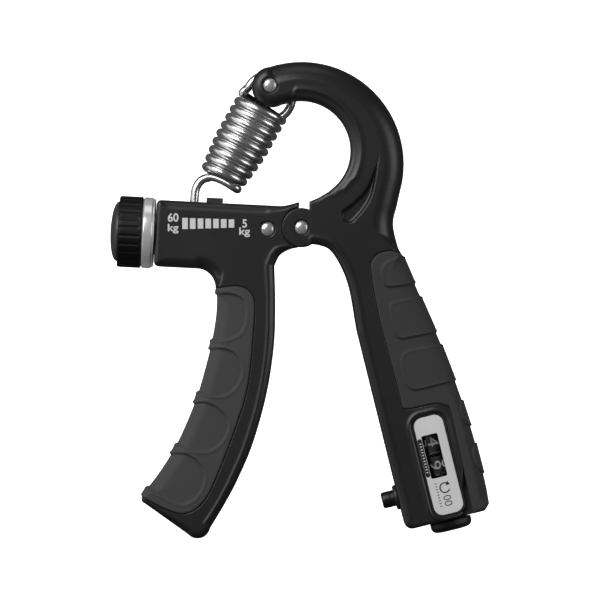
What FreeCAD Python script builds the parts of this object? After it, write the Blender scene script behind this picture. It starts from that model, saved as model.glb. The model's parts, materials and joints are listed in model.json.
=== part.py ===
"""Adjustable hand gripper: two moulded arms on one hinge, an extension spring, a tension knob
with a lead screw, and a two-digit squeeze counter in the palm handle.

Frames, all in millimetres, +Z up, +Y away from the front:
  pivot frame    origin on the main hinge, axes as the row's
  barrel frame   origin at the middle of the barrel's open end, +X along the lead screw
  counter frame  origin on the main hinge, +X across the palm handle, +Z up along it
"""
import FreeCAD, Part
import Sketcher
import math
import os

V = FreeCAD.Vector
Y_AXIS = V(0, 1, 0)

DIMS = {
    # where the frames stand
    "pivot_x": 0.69, "pivot_height": 99.76,
    "barrel_end_x": -46.9, "barrel_end_z": -1.75, "barrel_tilt": 2.9, "palm_tilt": 13.9,
    # arms
    "arm_width": 20.0, "core_width": 16.0, "grip_width": 20.4, "pad_width": 22.0,
    "pad_gap_above": 1.4, "pad_gap_below": 2.2, "pad_step": 0.9, "pad_level": 0.35,
    "ridge_half": 1.25,
    "hook_inner_radius": 16.0, "hook_outer_radius": 33.0,
    "knuckle_radius": 6.2, "knuckle_gap_radius": 6.5, "tongue_width": 7.8, "fork_slot": 8.0,
    "crescent_depth": 1.0, "spring_slot": 3.4,
    # rivets
    "rivet_shank": 1.5, "rivet_head": 2.2, "sink_radius": 2.75, "sink_depth": 1.0,
    "head_rise": 0.85, "pivot_shank": 1.6, "bush_radius": 2.6,
    # barrel, screw and slider
    "barrel_height": 21.4, "cavity_start": 2.0, "cavity_length": 29.5, "cavity_width": 14.0,
    "cavity_low": 7.5, "cavity_high": 9.2, "barrel_slot_start": 1.6, "barrel_slot_length": 26.0,
    "barrel_slot_width": 5.2, "screw_radius": 2.5, "screw_bore": 2.6, "screw_end": 39.0,
    "groove_radius": 1.45, "groove_width": 3.6, "slider_start": 11.05, "slider_length": 10.4,
    "slider_width": 13.4, "slider_low": 7.2, "slider_high": 8.9, "nut_bore": 2.55,
    "hook_pin_radius": 1.4, "wire_slot": 3.0, "tab_start": 15.8, "tab_length": 5.3,
    "tab_width": 4.9, "tab_top": 12.3,
    # knob
    "knob_radius": 11.55, "knob_back": 12.0, "knob_front": 4.4, "knob_ribs": 28,
    "rib_radius": 0.7, "hub_radius": 7.8, "cap_radius": 9.7, "cap_rise": 2.6,
    "cap_seat": 1.6, "ring_lip": 0.15, "head_seat": 7.0, "head_room": 5.4,
    "head_height": 3.0, "ring_end": 0.35, "washer_radius": 6.5, "washer_start": 0.8, "washer_thickness": 0.7,
    # spring
    "wire_radius": 1.3, "coil_radius": 7.1, "coil_pitch": 2.84, "coil_turns": 8.5,
    "loop_radius": 7.2, "lower_hook_radius": 2.8,
    # counter, along the palm handle
    "back_screw_radius": 0.8, "back_screw_head": 1.2, "back_screw_down": 68.5,
    "counter_across": 23.9, "module_left": 15.0, "module_width": 17.4, "module_top": 64.0,
    "palm_bottom": 102.4, "module_depth": 16.0, "module_play": 0.1, "label_left": 19.6,
    "label_width": 9.6, "label_top": 68.5, "label_length": 32.0, "label_corner": 2.9,
    "label_margin": 0.9, "boss_play": 0.15, "boss_front": 9.2, "label_thickness": 0.4,
    "window_left": 21.3, "window_width": 5.1, "window_top": 74.3, "window_length": 14.1,
    "lens_thickness": 0.8, "cell_left": 16.5, "cell_width": 14.6, "cell_top": 73.0,
    "cell_length": 26.5, "cell_half_depth": 7.0, "cover_thickness": 0.95,
    "wheel_radius": 6.2, "wheel_width": 6.7, "tens_top": 74.4, "units_top": 81.5,
    "axle_radius": 1.0, "axle_bore": 1.05, "axle_top": 71.6, "ratchet_radius": 5.0,
    "ratchet_width": 2.2, "ratchet_teeth": 10, "carry_across": 29.5, "carry_deep": 5.6,
    "carry_radius": 1.2, "carry_top": 79.0, "carry_width": 4.6, "carry_axle_radius": 0.5,
    "carry_bore": 0.55, "reset_radius": 6.75, "reset_top": 102.7, "reset_height": 3.4,
    "reset_shaft": 2.0, "reset_bore": 2.1, "reset_shaft_top": 95.5,
    # plunger
    "plunger_down": 91.6, "plunger_tip": 4.0, "plunger_radius": 2.7, "plunger_shoulder": 10.5,
    "plunger_bore": 2.75, "collar_radius": 4.05, "collar_start": 8.1, "palm_inner": 9.25,
    "sleeve_radius": 3.6, "rod_radius": 1.2, "rod_down": 92.1, "rod_end": 17.8,
    "rod_bore": 1.4, "pawl_thickness": 0.8, "pawl_deep": 5.4, "pawl_end": 25.5,
    "plunger_coil_radius": 2.3, "plunger_wire": 0.25, "plunger_turns": 4.0,
}

doc = FreeCAD.newDocument("hand_gripper")
sheet = doc.addObject("Spreadsheet::Sheet", "dims")
for row, (alias, number) in enumerate(DIMS.items(), start=1):
    sheet.set(f"A{row}", alias)
    sheet.set(f"B{row}", str(number))
    sheet.setAlias(f"B{row}", alias)
doc.recompute()


class Sizes:
    """Reads a driving dimension from the sheet by its alias."""

    def __getattr__(self, alias):
        return float(sheet.get(alias))


dim = Sizes()
subparts = []

PIVOT_FRAME = FreeCAD.Placement(V(dim.pivot_x, 0, dim.pivot_height), FreeCAD.Rotation())
BARREL_FRAME = PIVOT_FRAME * FreeCAD.Placement(
    V(dim.barrel_end_x, 0, dim.barrel_end_z), FreeCAD.Rotation(Y_AXIS, dim.barrel_tilt))
COUNTER_FRAME = PIVOT_FRAME * FreeCAD.Placement(V(), FreeCAD.Rotation(Y_AXIS, -dim.palm_tilt))

ALONG_X = FreeCAD.Rotation(Y_AXIS, 90)
ALONG_Y = FreeCAD.Rotation(V(1, 0, 0), -90)
DOWN = FreeCAD.Rotation(V(1, 0, 0), 180)


# ---------------------------------------------------------------- helpers

def keep(thing, label, frame):
    """Names a finished sub-part and stands it in its frame."""
    thing.Label = label
    thing.Placement = frame * thing.Placement
    subparts.append(thing)
    return thing


def new_body(name):
    return doc.addObject("PartDesign::Body", name + "_body")


def sketch_on(body, name, role="XZ_Plane"):
    plane = [part for part in body.Origin.OriginFeatures if part.Role == role][0]
    sketch = body.newObject("Sketcher::SketchObject", name)
    sketch.AttachmentSupport = [(plane, "")]
    sketch.MapMode = "FlatFace"
    return sketch


def draw(sketch, start, steps):
    """Draws a closed outline: each step is a line, an arc through a middle point or a spline."""
    here = V(*start, 0)
    for kind, *points in steps:
        ahead = [V(*point, 0) for point in points]
        if kind == "line":
            sketch.addGeometry(Part.LineSegment(here, ahead[0]))
        elif kind == "arc":
            sketch.addGeometry(Part.Arc(here, ahead[0], ahead[1]))
        else:
            curve = Part.BSplineCurve()
            curve.interpolate([here] + ahead)
            sketch.addGeometry(curve)
        here = ahead[-1]


def draw_circle(sketch, centre, radius_alias):
    radius = getattr(dim, radius_alias)
    index = sketch.addGeometry(Part.Circle(V(*centre, 0), V(0, 0, 1), radius))
    number = sketch.addConstraint(Sketcher.Constraint("Radius", index, radius))
    sketch.renameConstraint(number, "radius")
    sketch.setExpression("Constraints.radius", f"dims.{radius_alias}")


def draw_round_box(sketch, left, right, low, high, corner):
    """A rectangle with round corners."""
    inset = corner * (1 - math.sqrt(0.5))
    draw(sketch, (left + corner, low), [
        ("line", (right - corner, low)),
        ("arc", (right - inset, low + inset), (right, low + corner)),
        ("line", (right, high - corner)),
        ("arc", (right - inset, high - inset), (right - corner, high)),
        ("line", (left + corner, high)),
        ("arc", (left + inset, high - inset), (left, high - corner)),
        ("line", (left, low + corner)),
        ("arc", (left + inset, low + inset), (left + corner, low)),
    ])


def pad(body, sketch, length, name):
    """Pads a sketch evenly to both sides of its plane."""
    feature = body.newObject("PartDesign::Pad", name)
    feature.Profile = sketch
    feature.SideType = "Symmetric"
    feature.setExpression("Length", length)
    doc.recompute()
    return feature


def pocket(body, sketch, length, name):
    """Cuts a sketch evenly to both sides of its plane, and makes sure that it cuts."""
    before = body.Shape.Volume
    feature = body.newObject("PartDesign::Pocket", name)
    feature.Profile = sketch
    feature.SideType = "Symmetric"
    feature.setExpression("Length", length)
    doc.recompute()
    if body.Shape.Volume > before - 0.01:
        raise RuntimeError(f"{name} removed nothing")
    return feature


def revolve(body, profile, name):
    """Turns a profile a full turn about its horizontal axis."""
    feature = body.newObject("PartDesign::Revolution", name)
    feature.Profile = profile
    feature.ReferenceAxis = (profile, ["H_Axis"])
    feature.Angle = 360
    doc.recompute()


def cylinder(name, radius, length, base, turn):
    """A Part cylinder whose radius and height follow the sheet."""
    thing = doc.addObject("Part::Cylinder", name)
    thing.setExpression("Radius", radius)
    thing.setExpression("Height", length)
    thing.Placement = FreeCAD.Placement(V(*base), turn)
    return thing


def box(name, length, width, height, corner):
    thing = doc.addObject("Part::Box", name)
    thing.setExpression("Length", length)
    thing.setExpression("Width", width)
    thing.setExpression("Height", height)
    thing.Placement = FreeCAD.Placement(V(*corner), FreeCAD.Rotation())
    return thing


def fuse(name, *things):
    thing = doc.addObject("Part::MultiFuse", name)
    thing.Shapes = list(things)
    doc.recompute()
    return thing


def cut(name, base, *tools):
    """Cuts tools from a base one after another, and makes sure that each cuts."""
    for number, tool in enumerate(tools):
        thing = doc.addObject("Part::Cut", f"{name}_{number}")
        thing.Base = base
        thing.Tool = tool
        doc.recompute()
        if thing.Shape.Volume > base.Shape.Volume - 0.001:
            raise RuntimeError(f"{name}: {tool.Name} removed nothing")
        base = thing
    return base


def in_barrel_frame(x, z):
    """A point of the pivot frame in the barrel frame."""
    tilt = math.radians(dim.barrel_tilt)
    across, up = x - dim.barrel_end_x, z - dim.barrel_end_z
    return (across * math.cos(tilt) - up * math.sin(tilt), across * math.sin(tilt) + up * math.cos(tilt))


def from_barrel_frame(along, up):
    """A point of the barrel frame in the pivot frame."""
    tilt = math.radians(dim.barrel_tilt)
    return (dim.barrel_end_x + along * math.cos(tilt) + up * math.sin(tilt),
            dim.barrel_end_z - along * math.sin(tilt) + up * math.cos(tilt))


def from_counter_frame(across, down):
    """A point of the palm handle, across and down it, in the pivot frame."""
    tilt = math.radians(dim.palm_tilt)
    return (across * math.cos(tilt) + down * math.sin(tilt),
            across * math.sin(tilt) - down * math.cos(tilt))


def on_knuckle(radius, angle):
    turn = math.radians(angle)
    return (radius * math.cos(turn), radius * math.sin(turn))


# ---------------------------------------------------------------- outlines, pivot frame

HOOK_RIVET = (-10.1, 45.6)
SCREW_RIVET = (-10.9, -0.5)
HOOK_PIN = (-31.6, 5.0)
LOOP_CENTRE = (-11.55, 41.5)
COIL_TOP = (-13.1, 37.0)
COIL_BOTTOM = (-25.2, 16.1)

PALM_BOUNDARY = [(28.6, -7.5), (24.8, -8.4), (22.3, -13.7)]
PALM_BOUNDARY_LOW = [(24.8, -28.0), (31.7, -55.0)]
COUNTER_SHOULDER = [(34.0, -58.2), (42.7, -56.5), (47.9, -59.0)]
PALM_SILHOUETTE = [(36.9, -19.3), (43.6, -34.6), (49.6, -50.0), (54.7, -65.3), (58.8, -80.8)]
PALM_CORE_EDGE = [(34.1, -20.6), (40.7, -36.0), (46.7, -51.2), (51.8, -66.4), (55.7, -81.6)]
PALM_PAD_DEPTHS = [8.6, 10.5, 13.2, 3.0, 3.0]
FINGER_BOUNDARY = [(-20.6, -18.9), (-15.7, -22.0), (-15.5, -34.8), (-17.2, -50.1),
                   (-20.6, -62.4), (-27.9, -81.4), (-32.2, -88.7)]
FINGER_BOUNDARY_LOW = [(-37.1, -91.6), (-42.6, -90.6), (-50.2, -85.6)]
FINGER_SILHOUETTE = [(-27.6, -28.0), (-28.9, -37.0), (-33.2, -53.0), (-40.6, -70.0),
                     (-46.5, -79.2), (-50.2, -85.6)]
FINGER_CORE_EDGE = [(-25.1, -28.0), (-26.4, -37.2), (-30.8, -53.6), (-38.0, -71.0),
                    (-44.0, -80.4), (-47.0, -85.2)]
FINGER_RIDGES = [((-29.3, -37.6), (-18.5, -37.2)), ((-33.9, -54.0), (-20.0, -57.5)),
                 ((-41.2, -71.0), (-27.5, -72.5)), ((-51.0, -84.8), (-34.5, -88.9))]


def hook_outline():
    """The bare plastic of the hook arm, from the right lip of the notch over the knuckle."""
    inner, outer = dim.hook_inner_radius, dim.hook_outer_radius
    crown, heel = (-0.2, 24.9), (0.0, 20.5)
    grip_end = from_counter_frame(30.6, dim.palm_bottom)
    corner = dim.palm_inner + 2.5
    return (2.5, 8.3), [
        ("spline", (5.5, 9.6), (8.6, 11.4)),
        ("arc", (crown[0] + inner, crown[1]), (-1.9, 40.8)),
        ("line", (-6.4, 39.7)),
        ("arc", (-15.9, 44.4), (-10.5, heel[1] + math.sqrt(outer ** 2 - 10.5 ** 2))),
        ("arc", (22.9, heel[1] + math.sqrt(outer ** 2 - 22.9 ** 2)), (32.5, 14.9)),
        ("spline", (30.8, 7.4), (29.5, 1.2), (31.0, -6.0), (32.3, -8.5)),
        ("spline", *PALM_BOUNDARY),
        ("spline", *PALM_BOUNDARY_LOW),
        ("spline", *COUNTER_SHOULDER),
        ("spline", (51.3, -74.5), grip_end),
        ("line", from_counter_frame(corner, dim.palm_bottom)),
        ("arc", from_counter_frame(dim.palm_inner + 0.75, dim.palm_bottom - 0.75),
         from_counter_frame(dim.palm_inner, dim.palm_bottom - 2.5)),
        ("line", from_counter_frame(dim.palm_inner, 36.3)),
        ("spline", (15.3, -19.5), (12.4, -11.9), (9.2, -7.2), (6.0, -5.7),
         on_knuckle(dim.knuckle_radius, -57)),
        ("arc", on_knuckle(dim.knuckle_radius, 180), on_knuckle(dim.knuckle_radius, 66.2)),
        ("line", (2.5, 8.3)),
    ]


def palm_core_outline():
    """The arm's narrower core inside the palm grip."""
    return (20.5, -13.0), [
        ("line", (26.0, -9.6)),
        ("line", (29.6, -10.4)),
        ("spline", *PALM_CORE_EDGE, from_counter_frame(34.6, dim.palm_bottom)),
        ("line", from_counter_frame(13.5, dim.palm_bottom)),
        ("line", (29.0, -58.0)),
        ("line", (20.5, -13.0)),
    ]


def palm_grip_outline():
    start = from_counter_frame(30.6, dim.palm_bottom)
    return start, [
        ("spline", (51.3, -74.5), COUNTER_SHOULDER[-1]),
        ("spline", *reversed([PALM_BOUNDARY_LOW[-1]] + COUNTER_SHOULDER[:-1])),
        ("spline", *reversed([PALM_BOUNDARY[-1]] + PALM_BOUNDARY_LOW[:-1])),
        ("spline", *reversed([(32.3, -8.5)] + PALM_BOUNDARY[:-1])),
        ("spline", *PALM_SILHOUETTE, from_counter_frame(37.1, dim.palm_bottom - 2.0)),
        ("line", from_counter_frame(35.1, dim.palm_bottom)),
        ("line", start),
    ]


def finger_outline():
    """The bare plastic of the finger arm: barrel, neck and the handle's inner strip."""
    half = dim.barrel_height / 2
    gap = dim.knuckle_gap_radius
    chamfer = 1.6
    return (-0.7, 8.2), [
        ("line", (-0.7, math.sqrt(gap ** 2 - 0.49))),
        ("arc", on_knuckle(gap, 180), on_knuckle(gap, -96)),
        ("spline", (-3.6, -6.9), (-6.9, -8.8), (-8.7, -12.2)),
        ("spline", (-8.4, -25.2), (-8.9, -38.7), (-11.3, -54.0), (-15.6, -69.4), (-20.6, -81.2),
         (-29.3, -96.5)),
        ("arc", (-32.2, -99.6), (-36.3, -98.5)),
        ("line", (-50.0, -88.4)),
        ("line", FINGER_BOUNDARY_LOW[-1]),
        ("spline", *reversed([FINGER_BOUNDARY[-1]] + FINGER_BOUNDARY_LOW[:-1])),
        ("spline", *reversed([(-27.6, -19.6)] + FINGER_BOUNDARY[:-1])),
        ("arc", (-29.1, -15.3), from_barrel_frame(13.9, -half)),
        ("line", from_barrel_frame(chamfer, -half)),
        ("line", from_barrel_frame(0, chamfer - half)),
        ("line", from_barrel_frame(0, half - chamfer)),
        ("line", from_barrel_frame(chamfer, half)),
        ("line", from_barrel_frame(36.0, half)),
        ("spline", (-5.6, 7.0), (-0.7, 8.2)),
    ]


def finger_core_outline():
    """The arm's narrower core inside the finger grip."""
    return (-13.5, -20.5), [
        ("line", (-25.1, -20.5)),
        ("spline", *FINGER_CORE_EDGE),
        ("line", (-36.0, -94.5)),
        ("line", (-28.5, -88.0)),
        ("line", (-14.5, -50.0)),
        ("line", (-13.5, -20.5)),
    ]


def finger_grip_outline():
    return (-27.6, -19.6), [
        ("spline", *FINGER_BOUNDARY),
        ("spline", *FINGER_BOUNDARY_LOW),
        ("spline", *reversed([(-27.6, -19.6)] + FINGER_SILHOUETTE[:-1])),
    ]


# ---------------------------------------------------------------- arms

def bore_through(body, name, centre, bore_alias):
    """Bores an arm from face to face."""
    bore = sketch_on(body, name + "_bore")
    draw_circle(bore, centre, bore_alias)
    pocket(body, bore, "dims.arm_width + 4", name + "_bore_cut")


def face_sinks(name, base, centres):
    """Cuts the sinks of the rivet heads out of both faces of an arm."""
    half = dim.arm_width / 2
    tools = []
    for number, (x, z) in enumerate(centres):
        for side, start in (("front", -half - 1), ("back", half - dim.sink_depth)):
            tools.append(cylinder(f"{name}_sink_{number}_{side}", "dims.sink_radius",
                                  "dims.sink_depth + 1", (x, start, z), ALONG_Y))
    return cut(name + "_sunk", base, *tools)


def make_hook_arm():
    body = new_body("hook_arm")
    core = sketch_on(body, "palm_core")
    draw(core, *palm_core_outline())
    pad(body, core, "dims.core_width", "palm_core_pad")
    skin = sketch_on(body, "hook_skin")
    draw(skin, *hook_outline())
    pad(body, skin, "dims.arm_width", "hook_skin_pad")
    fork = sketch_on(body, "fork")
    draw_circle(fork, (0, 0), "knuckle_gap_radius")
    pocket(body, fork, "dims.fork_slot", "fork_cut")
    slot = sketch_on(body, "loop_slot")
    draw(slot, (-18.0, 34.0), [("line", (-0.3, 34.0)), ("line", (-0.3, 50.0)),
                               ("line", (-18.0, 50.0)), ("line", (-18.0, 34.0))])
    pocket(body, slot, "dims.spring_slot", "loop_slot_cut")
    bore_through(body, "pivot", (0, 0), "pivot_shank")
    bore_through(body, "loop_rivet", HOOK_RIVET, "rivet_shank")
    arm = face_sinks("hook_arm", body, [(0, 0), HOOK_RIVET])

    recess = new_body("crescent")
    outline = sketch_on(recess, "crescent_outline")
    draw(outline, (25.0, 23.6), [
        ("spline", (21.1, 13.2), (17.2, 8.6), (13.3, 5.5)),
        ("arc", (13.2, 2.4), (16.6, 1.8)),
        ("spline", (19.9, 5.5), (22.9, 11.2), (25.0, 23.6)),
    ])
    pad(recess, outline, "dims.arm_width + 2", "crescent_pad")
    web = box("crescent_web", "40", "dims.arm_width - 2 * dims.crescent_depth", "40",
              (0, dim.crescent_depth - dim.arm_width / 2, 0))
    arm = cut("crescents", arm, cut("crescent_pair", recess, web))

    # the counter module slides in from below, behind its window in the front wall
    left, depth = dim.module_left, dim.module_depth
    cell = box("module_cell", "dims.module_width", "dims.module_depth",
               "dims.palm_bottom - dims.module_top + 2", (left, -depth / 2, -dim.palm_bottom - 2))
    window = new_body("arm_window")
    frame = sketch_on(window, "arm_window_outline")
    margin = dim.label_margin
    draw_round_box(frame, dim.label_left - margin, dim.label_left + dim.label_width + margin,
                   -dim.label_top - dim.label_length - margin, margin - dim.label_top,
                   dim.label_corner + margin)
    pad(window, frame, "dims.arm_width + 2", "arm_window_pad")
    front = cut("arm_window_front", window,
                box("window_back", "60", "dims.arm_width", "120", (0, -1, -120)))
    sleeve = cylinder("sleeve_hole", "dims.sleeve_radius", "10", (6, 0, -dim.plunger_down), ALONG_X)
    screw = cylinder("screw_hole", "dims.back_screw_head", "4",
                     (dim.counter_across, 7, -dim.back_screw_down), ALONG_Y)
    tools = fuse("counter_tools", cell, front, sleeve, screw)
    tools.Placement = FreeCAD.Placement(V(), FreeCAD.Rotation(Y_AXIS, -dim.palm_tilt))
    keep(cut("hook_arm_finished", arm, tools), "hook_arm", PIVOT_FRAME)


def make_palm_grip():
    body = new_body("palm_grip")
    skin = sketch_on(body, "palm_grip_outline")
    draw(skin, *palm_grip_outline())
    pad(body, skin, "dims.grip_width", "palm_grip_pad")
    edge = [(32.3, -8.5)] + PALM_SILHOUETTE
    for number, depth in enumerate(PALM_PAD_DEPTHS):
        (x1, z1), (x2, z2) = edge[number], edge[number + 1]
        run = V(x2 - x1, 0, z2 - z1).normalize()
        out = V(-run.z, 0, run.x)
        inward = V(-out.x, 0, -out.z * dim.pad_level)
        high = V(x1, 0, z1) + run * dim.pad_gap_above
        low = V(x2, 0, z2) - run * dim.pad_gap_below
        step = low + out * dim.pad_step
        corners = [high, step, step + inward * dim.pad_step, low + inward * depth,
                   high + inward * depth]
        raised = sketch_on(body, f"palm_pad_{number}")
        points = [(corner.x, corner.z) for corner in corners]
        draw(raised, points[0], [("line", point) for point in points[1:] + points[:1]])
        pad(body, raised, "dims.pad_width", f"palm_pad_{number}_pad")
    core = sketch_on(body, "palm_grip_core")
    draw(core, *palm_core_outline())
    pocket(body, core, "dims.core_width", "palm_grip_core_cut")
    keep(body, "palm_grip", PIVOT_FRAME)


def make_finger_arm():
    body = new_body("finger_arm")
    tongue = sketch_on(body, "tongue")
    draw_circle(tongue, (0, 0), "knuckle_radius")
    pad(body, tongue, "dims.tongue_width", "tongue_pad")
    root = sketch_on(body, "tongue_root")
    draw(root, (-9.0, -4.6), [("line", (-1.0, -4.6)), ("line", (-1.0, 4.6)),
                              ("line", (-9.0, 4.6)), ("line", (-9.0, -4.6))])
    pad(body, root, "dims.tongue_width", "tongue_root_pad")
    skin = sketch_on(body, "finger_skin")
    draw(skin, *finger_outline())
    pad(body, skin, "dims.arm_width", "finger_skin_pad")
    core = sketch_on(body, "finger_core")
    draw(core, *finger_core_outline())
    pad(body, core, "dims.core_width", "finger_core_pad")
    bore_through(body, "bush", (0, 0), "bush_radius")
    bore_through(body, "screw_rivet", SCREW_RIVET, "rivet_shank")
    arm = face_sinks("finger_arm", body, [SCREW_RIVET])

    cell = box("slider_cell", "dims.cavity_length", "dims.cavity_width",
               "dims.cavity_low + dims.cavity_high",
               (dim.cavity_start, -dim.cavity_width / 2, -dim.cavity_low))
    slot = box("barrel_slot", "dims.barrel_slot_length", "dims.barrel_slot_width", "6",
               (dim.barrel_slot_start, -dim.barrel_slot_width / 2, dim.cavity_high - 1))
    bore = cylinder("screw_bore", "dims.screw_bore", "dims.screw_end + 1.8", (-1, 0, 0), ALONG_X)
    tools = fuse("barrel_tools", cell, slot, bore)
    tools.Placement = FreeCAD.Placement(V(dim.barrel_end_x, 0, dim.barrel_end_z),
                                        FreeCAD.Rotation(Y_AXIS, dim.barrel_tilt))
    keep(cut("finger_arm_finished", arm, tools), "finger_arm", PIVOT_FRAME)


def make_finger_grip():
    body = new_body("finger_grip")
    skin = sketch_on(body, "finger_grip_outline")
    draw(skin, *finger_grip_outline())
    pad(body, skin, "dims.grip_width", "finger_grip_pad")
    half = dim.ridge_half
    for number, ((x1, z1), (x2, z2)) in enumerate(FINGER_RIDGES):
        ridge = sketch_on(body, f"ridge_{number}")
        draw(ridge, (x1 + half, z1 - half), [
            ("line", (x2, z2 - half)), ("line", (x2, z2 + half)), ("line", (x1 + half, z1 + half)),
            ("arc", (x1, z1), (x1 + half, z1 - half))])
        pad(body, ridge, "dims.pad_width", f"ridge_{number}_pad")
    core = sketch_on(body, "finger_grip_core")
    draw(core, *finger_core_outline())
    pocket(body, core, "dims.core_width", "finger_grip_core_cut")
    keep(body, "finger_grip", PIVOT_FRAME)


# ---------------------------------------------------------------- rivets and bush

def make_rivet(name, centre, shank):
    """A shank with a low domed head sunk in each face."""
    x, z = centre
    half = dim.arm_width / 2
    seat = half - dim.sink_depth
    pin = cylinder(name + "_shank", f"dims.{shank}", "dims.arm_width - 2 * dims.sink_depth",
                   (x, -seat, z), ALONG_Y)
    heads = []
    for side, turn in ((-1, ALONG_Y.inverted()), (1, ALONG_Y)):
        head = doc.addObject("Part::Cone", f"{name}_head_{side + 1}")
        head.setExpression("Radius1", "dims.rivet_head")
        head.setExpression("Radius2", "dims.rivet_head * 0.6")
        head.setExpression("Height", "dims.head_rise")
        head.Placement = FreeCAD.Placement(V(x, side * seat, z), turn)
        heads.append(head)
    keep(fuse(name + "_fused", pin, *heads), name, PIVOT_FRAME)


def make_pivot_bush():
    outer = cylinder("bush_outer", "dims.bush_radius", "dims.tongue_width",
                     (0, -dim.tongue_width / 2, 0), ALONG_Y)
    inner = cylinder("bush_inner", "dims.pivot_shank + 0.05", "dims.tongue_width + 2",
                     (0, -dim.tongue_width / 2 - 1, 0), ALONG_Y)
    keep(cut("bush", outer, inner), "pivot_bush", PIVOT_FRAME)


# ---------------------------------------------------------------- knob, screw and slider

def make_tension_knob():
    body = new_body("tension_knob")
    profile = sketch_on(body, "knob_profile")
    outer, back, front = dim.knob_radius - dim.ring_lip, -dim.knob_back, -dim.knob_front
    hub_end, seat = -dim.washer_start, back + dim.cap_seat
    draw(profile, (back, dim.cap_radius), [
        ("line", (back + 0.3, outer - 0.5)), ("line", (back + 0.8, outer)),
        ("line", (front, outer)), ("line", (front, dim.hub_radius)),
        ("line", (hub_end, dim.hub_radius)), ("line", (hub_end, dim.screw_radius)),
        ("line", (-dim.head_seat, dim.screw_radius)), ("line", (-dim.head_seat, dim.head_room)),
        ("line", (seat, dim.head_room)), ("line", (seat, dim.cap_radius)),
        ("line", (back, dim.cap_radius)),
    ])
    revolve(body, profile, "knob_turned")
    grooves = []
    count = int(dim.knob_ribs)
    for number in range(count):
        angle = math.tau * number / count
        radius = outer + dim.rib_radius / 2
        start = (back + 0.9, radius * math.cos(angle), radius * math.sin(angle))
        grooves.append(cylinder(f"knob_groove_{number}", "dims.rib_radius",
                                "dims.knob_back - dims.knob_front - 2.2", start, ALONG_X))
    keep(cut("knob_ribbed", body, fuse("knob_grooves", *grooves)), "tension_knob", BARREL_FRAME)


def make_knob_cap():
    body = new_body("knob_cap")
    profile = sketch_on(body, "cap_profile")
    back, radius, rise = -dim.knob_back, dim.cap_radius - 0.02, dim.cap_rise
    seat, rim = back + dim.cap_seat - 0.02, dim.head_room - 0.1
    draw(profile, (back - rise, 0), [
        ("arc", (back - rise * 0.72, radius * 0.55), (back - 0.1, radius)),
        ("line", (seat, radius)), ("line", (seat, rim)), ("line", (back + 0.4, rim)),
        ("line", (back + 0.4, 0)), ("line", (back - rise, 0)),
    ])
    revolve(body, profile, "cap_turned")
    keep(body, "knob_cap", BARREL_FRAME)


def make_ring_and_washer():
    start = -dim.knob_front
    ring = cut("ring",
               cylinder("ring_outer", "dims.knob_radius", "dims.knob_front - dims.ring_end",
                        (start, 0, 0), ALONG_X),
               cylinder("ring_inner", "dims.hub_radius", "dims.knob_front + 2",
                        (start - 1, 0, 0), ALONG_X))
    keep(ring, "chrome_ring", BARREL_FRAME)
    washer = cut("washer",
                 cylinder("washer_outer", "dims.washer_radius", "dims.washer_thickness",
                          (-dim.washer_start, 0, 0), ALONG_X),
                 cylinder("washer_inner", "dims.screw_radius", "3", (-2, 0, 0), ALONG_X))
    keep(washer, "thrust_washer", BARREL_FRAME)


def make_adjusting_screw():
    shaft = cylinder("screw_shaft", "dims.screw_radius", "dims.screw_end + dims.head_seat",
                     (-dim.head_seat, 0, 0), ALONG_X)
    head = doc.addObject("Part::Prism", "screw_head")
    head.Polygon = 6
    head.setExpression("Circumradius", "dims.head_room - 0.2")
    head.setExpression("Height", "dims.head_height")
    head.Placement = FreeCAD.Placement(V(-dim.head_seat - dim.head_height, 0, 0), ALONG_X)
    along, _ = in_barrel_frame(*SCREW_RIVET)
    start = along - dim.groove_width / 2
    sleeve = cut("groove_sleeve",
                 cylinder("groove_outer", "dims.screw_radius + 1", "dims.groove_width",
                          (start, 0, 0), ALONG_X),
                 cylinder("groove_inner", "dims.groove_radius", "dims.groove_width + 2",
                          (start - 1, 0, 0), ALONG_X))
    keep(cut("screw", fuse("screw_blank", shaft, head), sleeve), "adjusting_screw", BARREL_FRAME)


def make_slider():
    start, half = dim.slider_start, dim.slider_width / 2
    block = box("slider_block", "dims.slider_length", "dims.slider_width",
                "dims.slider_low + dims.slider_high", (start, -half, -dim.slider_low))
    tab = box("slider_tab", "dims.tab_length", "dims.tab_width",
              "dims.tab_top - dims.slider_high + 1",
              (dim.tab_start, -dim.tab_width / 2, dim.slider_high - 1))
    pin_along, pin_up = in_barrel_frame(*HOOK_PIN)
    slot = box("wire_slot", "8.3", "dims.wire_slot", "dims.slider_high - 3.1",
               (start - 0.1, -dim.wire_slot / 2, 3.1))
    nut_bore = cylinder("nut_bore", "dims.nut_bore", "dims.slider_length + 2",
                        (start - 1, 0, 0), ALONG_X)
    pin_bore = cylinder("pin_bore", "dims.hook_pin_radius", "dims.slider_width + 2",
                        (pin_along, -half - 1, pin_up), ALONG_Y)
    nut = cut("slider", fuse("slider_blank", block, tab), slot, nut_bore, pin_bore)
    keep(nut, "slider_nut", BARREL_FRAME)
    pin = cylinder("hook_pin", "dims.hook_pin_radius", "dims.slider_width - 0.2",
                   (pin_along, 0.1 - half, pin_up), ALONG_Y)
    keep(pin, "lower_spring_pin", BARREL_FRAME)


# ---------------------------------------------------------------- spring

def tube_along(wire, radius):
    """A round tube along a wire."""
    start = wire.OrderedEdges[0]
    point = start.valueAt(start.FirstParameter)
    section = Part.Wire(Part.makeCircle(radius, point, start.tangentAt(start.FirstParameter)))
    return wire.makePipeShell([section], True, True)


def coil_of(pitch, turns, radius, wire_radius):
    """A round-wire coil that winds up the z axis from the origin."""
    helix = Part.makeHelix(pitch, pitch * turns, radius)
    return tube_along(Part.Wire(helix.Edges), wire_radius)


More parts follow.
